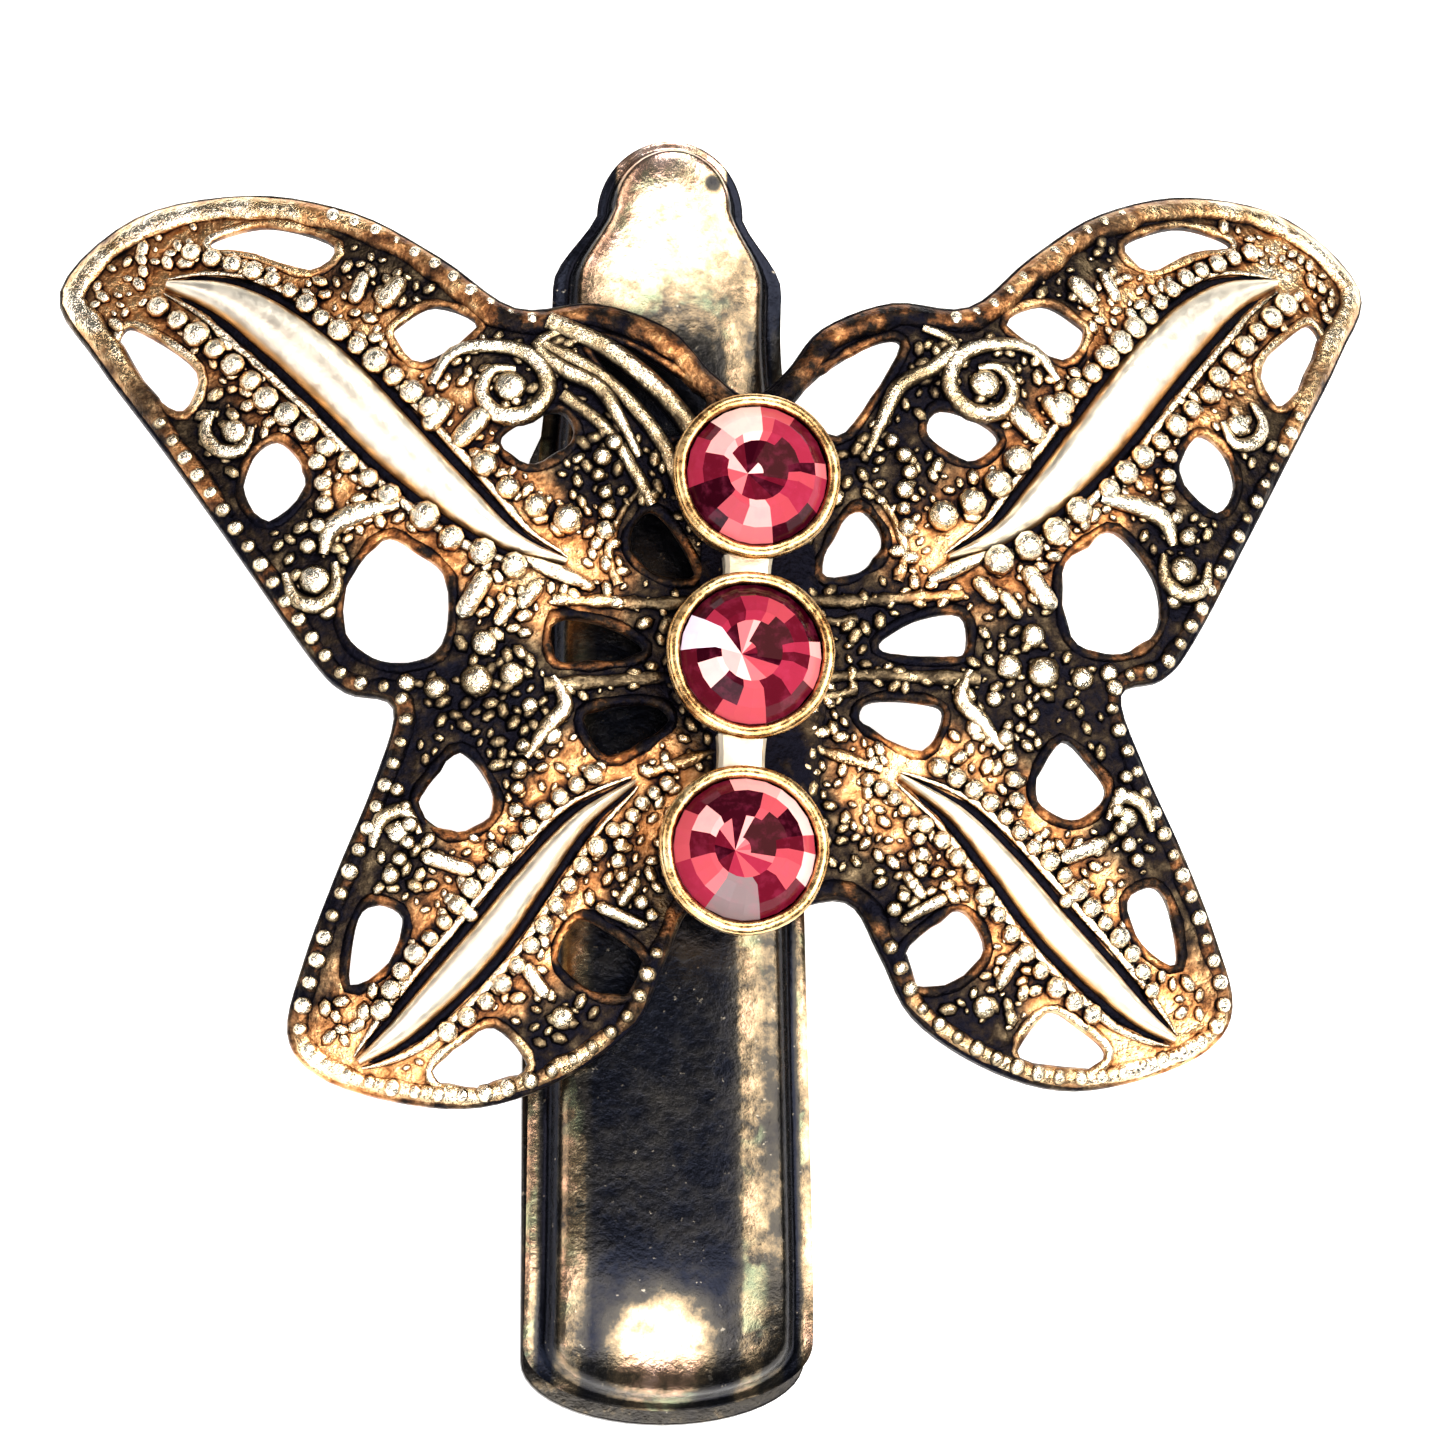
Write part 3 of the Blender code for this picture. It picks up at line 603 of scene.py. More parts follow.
def sideways(line, i, ring=False):
    """Unit vector to the left of a flat line at one of its points."""
    total = len(line)
    if ring:
        a, b = line[(i - 1) % total], line[(i + 1) % total]
    else:
        a, b = line[max(i - 1, 0)], line[min(i + 1, total - 1)]
    du, dv = b[0] - a[0], b[1] - a[1]
    size = math.hypot(du, dv) or 1.0
    return -dv / size, du / size


def shifted(line, gap, ring=False):
    """The same line moved to its left."""
    sides = [sideways(line, i, ring) for i in range(len(line))]
    return [(p[0] + gap * s[0], p[1] + gap * s[1], *p[2:]) for p, s in zip(line, sides)]


def outer_ring():
    """The whole outline of the butterfly, clockwise from the head."""
    right = list(WING_OUTLINE)
    left = [(-u, v) for u, v in reversed(right)]
    ring = curved([(0.0, HEAD_V)] + right + [(0.0, TAIL_V)] + left, 5, ring=True)
    return [(u * 0.996, v * 0.997) for u, v in ring]


def piercing_rings(per):
    rings = []
    for ring in WING_PIERCINGS:
        right = curved(ring, per, ring=True)
        rings += [right, [(-u, v) for u, v in right]]
    return rings


def counter_clockwise(ring):
    area = sum(a[0] * b[1] - b[0] * a[1] for a, b in zip(ring, ring[1:] + ring[:1]))
    return ring if area > 0 else ring[::-1]


def evaluated(holder):
    """The plain mesh that an object comes to with its modifiers; the object itself is dropped."""
    bpy.context.scene.collection.objects.link(holder)
    depsgraph = bpy.context.evaluated_depsgraph_get()
    made = bpy.data.meshes.new_from_object(holder.evaluated_get(depsgraph))
    bpy.data.objects.remove(holder, do_unlink=True)
    return made


def flat_mesh(name, rings, thickness, bevel):
    """Fill closed outlines; rings inside another are holes; the edges are rounded."""
    curve = bpy.data.curves.new(name, "CURVE")
    curve.dimensions = "2D"
    curve.fill_mode = "BOTH"
    curve.extrude = thickness / 2 - bevel
    curve.bevel_depth = bevel
    curve.bevel_resolution = 2
    curve.offset = -bevel
    for ring in rings:
        spline = curve.splines.new("POLY")
        spline.points.add(len(ring) - 1)
        for point, (x, y) in zip(spline.points, ring):
            point.co = (x, y, 0, 1)
        spline.use_cyclic_u = True
    mesh = evaluated(bpy.data.objects.new(name, curve))
    tidy_normals(mesh, merge=0.0005)
    return mesh


def crease(mesh, step):
    """Cut a flat plate along a grid of lines, so that it can curve."""
    bm = bmesh.new()
    bm.from_mesh(mesh)
    for normal, half in WING_CUTS:
        for i in range(-int(half / step), int(half / step) + 1):
            place = Vector(normal) * (i * step)
            everything = bm.verts[:] + bm.edges[:] + bm.faces[:]
            bmesh.ops.bisect_plane(bm, geom=everything, plane_co=place, plane_no=normal, dist=0.001)
    bmesh.ops.triangulate(bm, faces=bm.faces)
    bm.to_mesh(mesh)
    bm.free()


def settle(mesh, place=lay, polish=1.0, warmth=0.0):
    """Move a mesh from its drawing to its place, in metres, and mark where it is near a leaf.

    This share scales the wear, and may be one number or follow the place (u, v); on the rims it also holds a
    painted reflection along their lowest edges, and on the body and its struts a painted shade.
    """
    if place is lay:
        spots = [(vertex.co.x, vertex.co.y) for vertex in mesh.vertices]
        store(mesh, "warm", [max(warmth, near_leaves(u, v)) for u, v in spots])
        rise = [0.0] * len(spots)
        mesh.attributes["rise"].data.foreach_get("value", rise)
        shares = [polish(u, v) if callable(polish) else polish for u, v in spots]
        store(mesh, "rise", [value * share for value, share in zip(rise, shares)])
    for vertex in mesh.vertices:
        vertex.co = place(vertex.co) * MM
    mesh.update()


def as_drawn(point):
    """The place of a piece that is drawn where it stands."""
    return point


def on_row(along=0.0):
    """The place of a piece of the stone row that is drawn on its own axis."""
    return lambda point: ROW @ Vector((point[0], point[1] + along, point[2] + GAP))


def add_piece(name, mesh, material, body="upper", replaces=(), sharp=40.0):
    """Add a finished piece to the clip."""
    mesh.shade_smooth()
    if sharp:
        mesh.set_sharp_from_angle(angle=math.radians(sharp))
    mesh.materials.clear()
    mesh.materials.append(finish(material))
    made = bpy.data.objects.new(name, mesh)
    bpy.context.scene.collection.objects.link(made)
    if body:
        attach(made, body)
    if replaces:
        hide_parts(*replaces)
    return made


def add_relief(name, mesh, replaces=(), sharp=0.0, **marks):
    """Settle a piece of the butterfly and add it in antique brass."""
    settle(mesh, **marks)
    add_piece(name, mesh, "relief", replaces=replaces, sharp=sharp)


# ---- Geometry Nodes ----
def path_mesh(name, paths):
    """Lines as a mesh: each path is (ring, spacing, points), a point being (u, v, height, size)."""
    points, edges, sizes, gaps = [], [], [], []
    for ring, spacing, line in paths:
        first = len(points)
        points += [p[:3] for p in line]
        sizes += [p[3] for p in line]
        gaps += [spacing] * len(line)
        edges += [(first + i, first + i + 1) for i in range(len(line) - 1)]
        if ring:
            edges.append((first + len(line) - 1, first))
    mesh = bpy.data.meshes.new(name)
    mesh.from_pydata(points, edges, [])
    store(mesh, "size", sizes)
    store(mesh, "spacing", gaps)
    return mesh


class Growth(Graph):
    """A Geometry Nodes tree with settings of its own between a geometry and a material."""

    def __init__(self, name, **inputs):
        super().__init__(bpy.data.node_groups.new(name, "GeometryNodeTree"))
        add = self.tree.interface.new_socket
        for way in ("INPUT", "OUTPUT"):
            add("Geometry", in_out=way, socket_type="NodeSocketGeometry")
        for label, value in inputs.items():
            kind = "NodeSocketInt" if isinstance(value, int) else "NodeSocketFloat"
            add(label, in_out="INPUT", socket_type=kind).default_value = value
        add("Material", in_out="INPUT", socket_type="NodeSocketMaterial")
        start = self.tree.nodes.new("NodeGroupInput")
        self.given = {socket.name: Value(self, socket) for socket in start.outputs if socket.name}

    def curve(self):
        return self.node("GeometryNodeMeshToCurve", None, {"Mesh": self.given["Geometry"]})

    def ball(self, segments, rings):
        sockets = {"Segments": segments, "Rings": rings, "Radius": 1.0}
        return self.node("GeometryNodeMeshUVSphere", None, sockets)

    def height(self):
        place = self.node("GeometryNodeInputPosition")
        return self.node("ShaderNodeSeparateXYZ", None, {0: place}, out=2)

    def named(self, name):
        return self.node("GeometryNodeInputNamedAttribute", {"data_type": "FLOAT"}, {"Name": name})

    def keep(self, geometry, name, value):
        settings = {"data_type": "FLOAT", "domain": "POINT"}
        sockets = {"Geometry": geometry, "Name": name, "Value": value}
        return self.node("GeometryNodeStoreNamedAttribute", settings, sockets)

    def random(self, kind, out, sockets):
        sockets["Seed"] = self.given["Seed"]
        return self.node("FunctionNodeRandomValue", {"data_type": kind}, sockets, out)

    def put(self, points, instance, **sockets):
        sockets = {"Points": points, "Instance": instance, **sockets}
        return self.node("GeometryNodeInstanceOnPoints", None, sockets)

    def end(self, geometry):
        """Mark how high each vertex stands on its own piece, then realize, smooth and paint."""
        solid = self.node("GeometryNodeRealizeInstances", None, {"Geometry": geometry})
        stand = ((self.height() - self.named("core")) / self.named("size")).clamped()
        marked = self.keep(solid, "rise", stand)
        smooth = self.node("GeometryNodeSetShadeSmooth", None, {"Geometry": marked})
        sockets = {"Geometry": smooth, "Material": self.given["Material"]}
        painted = self.node("GeometryNodeSetMaterial", None, sockets)
        end = self.tree.nodes.new("NodeGroupOutput")
        self.tree.links.new(painted.socket, end.inputs[0])
        return self.tree


def wire_tree():
    """A round wire along each path, as thick as the path's own size."""
    tree = Growth("wire along paths", Sides=8)
    cored = tree.keep(tree.curve(), "core", tree.height())
    sockets = {"Resolution": tree.given["Sides"], "Radius": 1.0}
    ring = tree.node("GeometryNodeCurvePrimitiveCircle", None, sockets)
    sockets = {"Curve": cored, "Profile Curve": ring, "Scale": tree.named("size"), "Fill Caps": True}
    return tree.end(tree.node("GeometryNodeCurveToMesh", None, sockets))


def bead_tree():
    """Beads at an even spacing along each path, each a little different."""
    tree = Growth("beads along paths", Variation=0.12, Seed=3, Segments=9, Rings=6)
    sockets = {"Curve": tree.curve(), "Length": tree.named("spacing")}
    spaced = tree.node("GeometryNodeResampleCurve", {"mode": "LENGTH"}, sockets)
    cored = tree.keep(spaced, "core", tree.height())
    bead = tree.ball(tree.given["Segments"], tree.given["Rings"])
    spread = tree.random("FLOAT", 1, {2: tree.given["Variation"] * -1.0, 3: tree.given["Variation"]})
    size = tree.named("size") * (spread + 1.0)
    return tree.end(tree.put(cored, bead, Scale=size))


def grain_tree():
    """Small flattened grains scattered over the marked faces."""
    tree = Growth("grains on ground", Closest=0.4, Smallest=0.08, Largest=0.2, Seed=7)
    given = tree.given
    points = tree.node(
        "GeometryNodeDistributePointsOnFaces", {"distribute_method": "POISSON"},
        {"Mesh": given["Geometry"], "Distance Min": given["Closest"], "Density Max": 8.0,
         "Density Factor": 1.0, "Seed": given["Seed"]},
    )
    cored = tree.keep(points, "core", tree.height())
    size = tree.random("FLOAT", 1, {2: given["Smallest"], 3: given["Largest"]})
    sized = tree.keep(cored, "size", size)
    grain = tree.ball(6, 4)
    turn = tree.random("FLOAT_VECTOR", 0, {0: (0, 0, 0), 1: (0, 0, math.tau)})
    stretch = tree.node("ShaderNodeCombineXYZ", None, {0: size * 1.5, 1: size, 2: size * 0.9})
    return tree.end(tree.put(sized, grain, Rotation=turn, Scale=stretch))


def grow(name, mesh, tree, material="relief", **values):
    """Run a node tree on a mesh and return the result as a plain mesh."""
    values["Material"] = finish(material)
    holder = bpy.data.objects.new(name, mesh)
    modifier = holder.modifiers.new(tree.name, "NODES")
    modifier.node_group = tree
    for item in tree.interface.items_tree:
        if item.in_out == "INPUT" and item.name in values:
            modifier[item.identifier] = values[item.name]
    made = evaluated(holder)
    made.name = name
    return made


def add_wires(name, paths, sides=8, **marks):
    """Add wires of the butterfly along paths."""
    mesh = path_mesh(name + " paths", [(ring, 1.0, line) for ring, line in paths])
    add_relief(name, grow(name, mesh, wire_tree(), Sides=sides), **marks)


def add_beads(name, paths, seed):
    """Add rows of beads of the butterfly along paths of (spacing, points)."""
    mesh = path_mesh(name + " paths", [(False, gap, line) for gap, line in paths])
    values = {"Variation": 0.14, "Seed": seed, "Segments": 9, "Rings": 6}
    add_relief(name, grow(name, mesh, bead_tree(), **values))


def both_wings(paths):
    """The paths of one wing and their mirror images; the points of a path are its last member."""
    return paths + [(*path[:-1], [(-p[0], *p[1:]) for p in path[-1]]) for path in paths]


# ---- Settings ----
def measure(name, description, millimetres):
    return FloatProperty(name=name, description=description, default=millimetres * MM, unit="LENGTH")


def slant(name, description, degrees):
    value = math.radians(degrees)
    return FloatProperty(name=name, description=description, default=value, subtype="ANGLE")


def tint(name, description, *value):
    return FloatVectorProperty(
        name=name, description=description, default=value, size=3, subtype="COLOR", min=0, max=1
    )


class ClipSizes(PropertyGroup):
    """Sizes of the visible pieces."""

    sheet: measure("Sheet", "Thickness of the stamped upper arm", 0.45)
    base_sheet: measure("Lower sheet", "Thickness of the lower arm", 0.5)
    ground: measure("Ground", "Height of the butterfly's low ground", 0.58)
    leaf_height: measure("Leaf height", "How far the leaves stand above the ground", 0.52)
    rim_width: measure("Rim", "Half width of the raised rim of the wings", 0.5)
    cup_radius: measure("Cup radius", "Radius of a cup at its rim", 2.9)
    cup_height: measure("Cup height", "Height of a cup", 2.2)
    wire: measure("Wire", "Radius of the spring wire", 0.27)
    grain_seed: IntProperty(
        name="Grain seed", description="Pattern of the grains on the ground", default=7, min=0
    )


class ClipLooks(PropertyGroup):
    """Colours of the finishes."""

    brass: tint("Brass", "Antique brass, half worn", 0.82, 0.55, 0.27)
    worn_brass: tint("Worn brass", "Brass rubbed bright", 0.98, 0.9, 0.72)
    gilt: tint("Gilt", "Gilt cups", 0.74, 0.46, 0.19)
    rose: tint("Rose", "Rose glass", 0.62, 0.06, 0.16)
    steel: tint("Steel", "Spring wire and rivet", 0.45, 0.43, 0.4)


class StageSettings(PropertyGroup):
    """Camera and lights."""

    azimuth: slant("Azimuth", "Turn of the camera round the clip", -28.0)
    elevation: slant("Elevation", "Height of the camera above the table", 72.55)
    roll: slant("Roll", "Turn of the camera about its own line of sight", 27.93)
    distance: measure("Distance", "Camera to its aim point", 151.3)
    lens: FloatProperty(name="Lens", description="Focal length in millimetres", default=108.4)
    key: FloatProperty(name="Key", description="Power of the main soft light", default=1.0, unit="POWER")
    ambient: FloatProperty(name="Ambient", description="Light from all round", default=0.13, min=0)


# ---- Operators ----
class HAIRCLIP_OT_wing_plate(Operator):
    """Build the pierced plate of the butterfly"""

    bl_idname = "hairclip.wing_plate"
    bl_label = "Pierced plate"

    def execute(self, context):
        ground = context.scene.clip_sizes.ground / MM
        mesh = flat_mesh("butterfly_plate", [outer_ring()] + piercing_rings(5), ground, 0.12)
        crease(mesh, 0.8)
        rise = []
        for vertex in mesh.vertices:
            vertex.co.z += ground / 2
            top = vertex.co.z > ground - 0.01
            rise.append(0.12 if top else 0.0)
            if top:
                vertex.co.z += 0.06 * noise.noise((vertex.co.x * 1.3, vertex.co.y * 1.3, 2.0))
        store(mesh, "rise", rise)
        add_relief("butterfly_plate", mesh, ["butterfly"], sharp=40.0)
        return {"FINISHED"}


def rim_polish(u, v):
    """The rims are brightest at the wing tips and along the lowest edges, and dark between; the brightness
    along the lowest edges is a painted reflection.
    """
    tip = smoothstep(14.0, 19.0, abs(u)) * smoothstep(6.0, 12.0, v)
    # Painted reflection along the lowest edges of the lower wings.
    low = smoothstep(11.0, 13.5, -v)
    inner = 0.8 - 0.8 * smoothstep(8.0, 11.0, abs(u))
    dark = max(1 - smoothstep(6.0, 11.0, v), inner) * (1 - low)
    return 0.16 - 0.34 * dark + 0.34 * max(tip, low) + 0.3 * noise.noise((u * 0.7, v * 0.7, 4.0))


class HAIRCLIP_OT_wing_rims(Operator):
    """Build the raised rims round the wings and round their piercings"""

    bl_idname = "hairclip.wing_rims"
    bl_label = "Wing rims"

    def execute(self, context):
        sizes = context.scene.clip_sizes
        ground, wide = sizes.ground / MM, sizes.rim_width / MM
        edge = counter_clockwise(outer_ring())
        rim = []
        for i, (u, v) in enumerate(edge):
            side = sideways(edge, i, ring=True)
            broad = smoothstep(6.0, 12.0, v)
            size = wide * (0.72 + 0.28 * broad + 0.22 * noise.noise((u * 0.9, v * 0.9, 5.0)))
            height = ground - 0.22 + 0.1 * noise.noise((u * 1.4, v * 1.4, 9.0))
            rim.append((u + (size + 0.04) * side[0], v + (size + 0.04) * side[1], height, size))
        paths = [(True, rim)]
        for ring in piercing_rings(4):
            line = shifted(counter_clockwise(ring), -0.16, ring=True)
            thick = [0.2 + 0.1 * noise.noise((u * 1.5, v * 1.5, 1.0)) for u, v in line]
            paths.append((True, [(*place, ground - 0.1, size) for place, size in zip(line, thick)]))
        add_wires("wing_rims", paths, 10, polish=rim_polish, warmth=0.45)
        return {"FINISHED"}


class HAIRCLIP_OT_leaves(Operator):
    """Build the four polished leaves, with a groove and a thin ridge along both sides of each"""

    bl_idname = "hairclip.leaves"
    bl_label = "Leaves"

    def execute(self, context):
        sizes = context.scene.clip_sizes
        ground, high = sizes.ground / MM, sizes.leaf_height / MM
        lines = [curved(leaf, 6) for leaf in LEAVES]
        shape = Shape()
        for line in lines:
            rows, rises = [], []
            for i, (u, v, half) in enumerate(line):
                side = sideways(line, i)
                row = []
                for across, up in LEAF_SECTION:
                    reach = across * half * 1.04
                    place = (u + side[0] * reach, v + side[1] * reach)
                    row.append((*place, ground - 0.2 + (high + 0.2) * up))
                rows.append(row + [(u, v, ground - 0.25)])
                rises.append([min(1.0, up * 1.05) for _, up in LEAF_SECTION] + [0.0])
            shape.loft(rows, rises)
        mesh = shape.mesh("leaves", mirror=True)
        settle(mesh)
        add_piece("leaves", mesh, "leaf", sharp=50)
        pieces = (("leaf_grooves", 0.1, 0.2, ground - 0.08, -1.2), ("leaf_ridges", 0.46, 0.19, ground, 0.7))
        for name, gap, half, height, polish in pieces:
            paths = []
            for line in lines:
                last = len(line) - 1
                for hand in (-1, 1):
                    beside = []
                    for i, p in enumerate(line):
                        taper = 0.25 + 0.75 * min(1.0, 5 * i / last, 5 * (last - i) / last)
                        place = shifted(line, hand * (p[2] + gap * taper))[i]
                        beside.append((*place[:2], height, half * taper * (1 + 0.1 * math.sin(i))))
                    paths.append((False, beside))
            add_wires(name, both_wings(paths), polish=polish)
        return {"FINISHED"}


class HAIRCLIP_OT_beads(Operator):
    """Build the rows of beads on the wings and along their edges"""

    bl_idname = "hairclip.beads"
    bl_label = "Bead rows"

    def execute(self, context):
        ground = context.scene.clip_sizes.ground / MM
        paths = [
            (gap, [(u, v, ground + 0.12, radius * 1.3) for u, v in curved(line, 4)])
            for radius, gap, line in BEAD_ROWS
        ]
        add_beads("wing_beads", both_wings(paths), 3)
        runs = [[]]
        for u, v in shifted(counter_clockwise(outer_ring()), 0.42, ring=True):
            if abs(u) > 4.0 and (v < 9.5 or 7.5 < abs(u) < 14.5):
                run = runs[-1]
                if run and math.hypot(u - run[-1][0], v - run[-1][1]) > 1.5:
                    runs.append([])
                runs[-1].append((u, v, ground - 0.02, 0.3))
        add_beads("edge_beads", [(0.78, run) for run in runs if len(run) > 1], 11)
        return {"FINISHED"}


class HAIRCLIP_OT_scrolls(Operator):
    """Build the scrolls, bars and bosses of the wings"""

    bl_idname = "hairclip.scrolls"
    bl_label = "Scrolls and bosses"

    def execute(self, context):
        ground = context.scene.clip_sizes.ground / MM
        paths = []
        for half, line in SCROLLS:
            smooth = curved(line, 4)
            last = len(smooth) - 1
            sized = []
            for i, (u, v) in enumerate(smooth):
                taper = min(1.0, 3 * i / last, 3 * (last - i) / last)
                sized.append((u, v, ground + 0.05, half * (0.7 + 0.7 * taper)))
            paths.append((False, sized))
        for u0, v0, u1, v1, half in BARS:
            bar = []
            for share in (0.0, 0.04, 0.12, 0.25, 0.5, 0.75, 0.88, 0.96, 1.0):
                inside = min(share, 1 - share) * math.hypot(u1 - u0, v1 - v0) / half
                size = half * math.sqrt(max(0.02, 1 - max(0.0, 1 - inside) ** 2))
                bar.append((u0 + (u1 - u0) * share, v0 + (v1 - v0) * share, ground + 0.06, size))
            paths.append((False, bar))
        add_wires("wing_scrolls", both_wings(paths), 10, polish=0.8)
        shape = Shape()
        for u, v, radius in BOSSES:
            shape.dome((u, v, ground - 0.05), radius, radius * 0.8)
        add_relief("wing_bosses", shape.mesh("wing_bosses", mirror=True))
        return {"FINISHED"}


def clear_of(face, edge, holes):
    """Whether a face is open ground, away from the rims and the leaves."""
    middle = face.calc_center_median().xy
    if leaf_gap(*middle) < 0.75:
        return False
    if min((middle - Vector(p)).length_squared for p in edge) < 1.15**2:
        return False
    return min((middle - Vector(p)).length_squared for ring in holes for p in ring) > 0.5**2


class HAIRCLIP_OT_grains(Operator):
    """Scatter small grains over the low ground of the wings"""

    bl_idname = "hairclip.grains"
    bl_label = "Grains"

    def execute(self, context):
        sizes = context.scene.clip_sizes
        edge, holes = outer_ring(), piercing_rings(4)
        mesh = flat_mesh("grain ground", [edge] + holes, 0.02, 0.0)
        crease(mesh, 0.6)
        bm = bmesh.new()
        bm.from_mesh(mesh)
        bm.normal_update()
        away = [face for face in bm.faces if face.normal.z < 0.5 or not clear_of(face, edge, holes)]
        bmesh.ops.delete(bm, geom=away, context="FACES")
        bm.to_mesh(mesh)
        bm.free()
        for vertex in mesh.vertices:
            vertex.co.z = sizes.ground / MM
        values = {"Closest": 0.35, "Smallest": 0.1, "Largest": 0.29, "Seed": sizes.grain_seed}
        add_relief("ground_grains", grow("ground_grains", mesh, grain_tree(), **values), polish=0.75)
        return {"FINISHED"}


class HAIRCLIP_OT_body(Operator):
    """Build the ribbed body under the stones, its struts and the bands beside the head"""

    bl_idname = "hairclip.body"
    bl_label = "Body"

    def execute(self, context):
        ground = context.scene.clip_sizes.ground / MM
        arc = [math.pi * j / 12 for j in range(13)]
        rows = []
        for v, half in curved(BODY_SECTIONS, 3):
            half = max(half, 0.3)
            rows.append([(half * math.cos(a), v, ground - 0.1 + 0.4 * math.sin(a) ** 0.6) for a in arc])
        shape = Shape()
        shape.loft(rows, [[0.1 + 0.35 * math.sin(a) for a in arc]] * len(rows))
        # The body is darkened by a negative share of its rise: painted shade under the stone row.
        add_relief("butterfly_body", shape.mesh("butterfly_body"), sharp=40.0, polish=-0.4)
        paths = []
        for half, line in STRUTS:
            places = curved(line, 5)
            shares = [0.9 + 0.5 * noise.noise((u * 1.7, v * 1.7, 3.0)) for u, v in places]
            paths.append((False, [(*p, ground - 0.04, half * share) for p, share in zip(places, shares)]))
        # The struts get a low share: painted shade beside the stone row.
        add_wires("body_ribs", both_wings(paths), polish=0.35)
        bands = [(half, curved(line, 5)) for half, line in HEAD_BANDS]
        paths = [(False, [(u, v, ground - 0.05, half) for u, v in line]) for half, line in bands]
        add_wires("head_bands", paths, polish=0.75)
        return {"FINISHED"}


def turned(profile, sides):
    """A profile of (radius, height) spun round; its ends lie on the axis."""
    shape = Shape()
    rows = []
    for radius, height in profile:
        reach = max(radius, 0.004)
        ring = [math.tau * j / sides for j in range(sides)]
        rows.append([(reach * math.cos(a), reach * math.sin(a), height) for a in ring])
    shape.loft(rows, [[0.0] * sides] * len(rows))
    return shape


class HAIRCLIP_OT_cups(Operator):
    """Build the three gilt cups and the links between them"""

    bl_idname = "hairclip.cups"
    bl_label = "Cups and links"

    def execute(self, context):
        sizes = context.scene.clip_sizes
        rim = sizes.cup_radius / MM
        high = sizes.cup_height / MM
        profile = curved((
            (0.0, 0.35), (1.6, 0.35), (2.2, 0.5), (2.42, 1.2), (2.5, 1.75), (2.46, high - 0.12),
            (2.54, high - 0.01), (2.7, high + 0.01), (rim - 0.05, high - 0.07), (rim, high - 0.25),
            (rim - 0.06, high - 0.7), (2.66, 0.8), (2.56, 0.25), (2.4, 0.02), (1.4, 0.0), (0.0, 0.0),
        ), 4)
        for name, place in STONE_PLACES.items():
            shape = turned(profile, 56)
            points = []
            for x, y, z in shape.points:
                turn = math.atan2(y, x)
                wobble = 1 + 0.006 * math.sin(3 * turn + place) + 0.004 * math.sin(7 * turn - place)
                points.append((x * wobble, y * wobble, z))
            shape.points = points
            mesh = shape.mesh("cup_" + name)
            settle(mesh, on_row(place))
            add_piece("setting_" + name, mesh, "cup", replaces=["cup_" + name])
        pairs = (("upper", "top", "middle"), ("lower", "middle", "bottom"))
        for name, above, below in pairs:
            length = STONE_PLACES[above] - STONE_PLACES[below] - 2 * CUP_REACH
            centre = (STONE_PLACES[above] + STONE_PLACES[below]) / 2
            shape = Shape()
            rows = []
            for share in (-1.0, -0.8, -0.3, 0.0, 0.3, 0.8, 1.0):
                half = 0.85 - 0.06 * (1 - share * share)
                ring = ((-1, 0.0), (-1, 0.62), (-0.82, 0.78), (0, 0.86), (0.82, 0.78), (1, 0.62), (1, 0.0))
                rows.append([(a * half, centre + share * length / 2, b) for a, b in ring])
            shape.loft(rows, [[0.95] * 7] * len(rows))
            mesh = shape.mesh("link_" + name)
            settle(mesh, on_row())
            add_piece("joining_" + name, mesh, "leaf", replaces=["link_" + name], sharp=35)
        return {"FINISHED"}


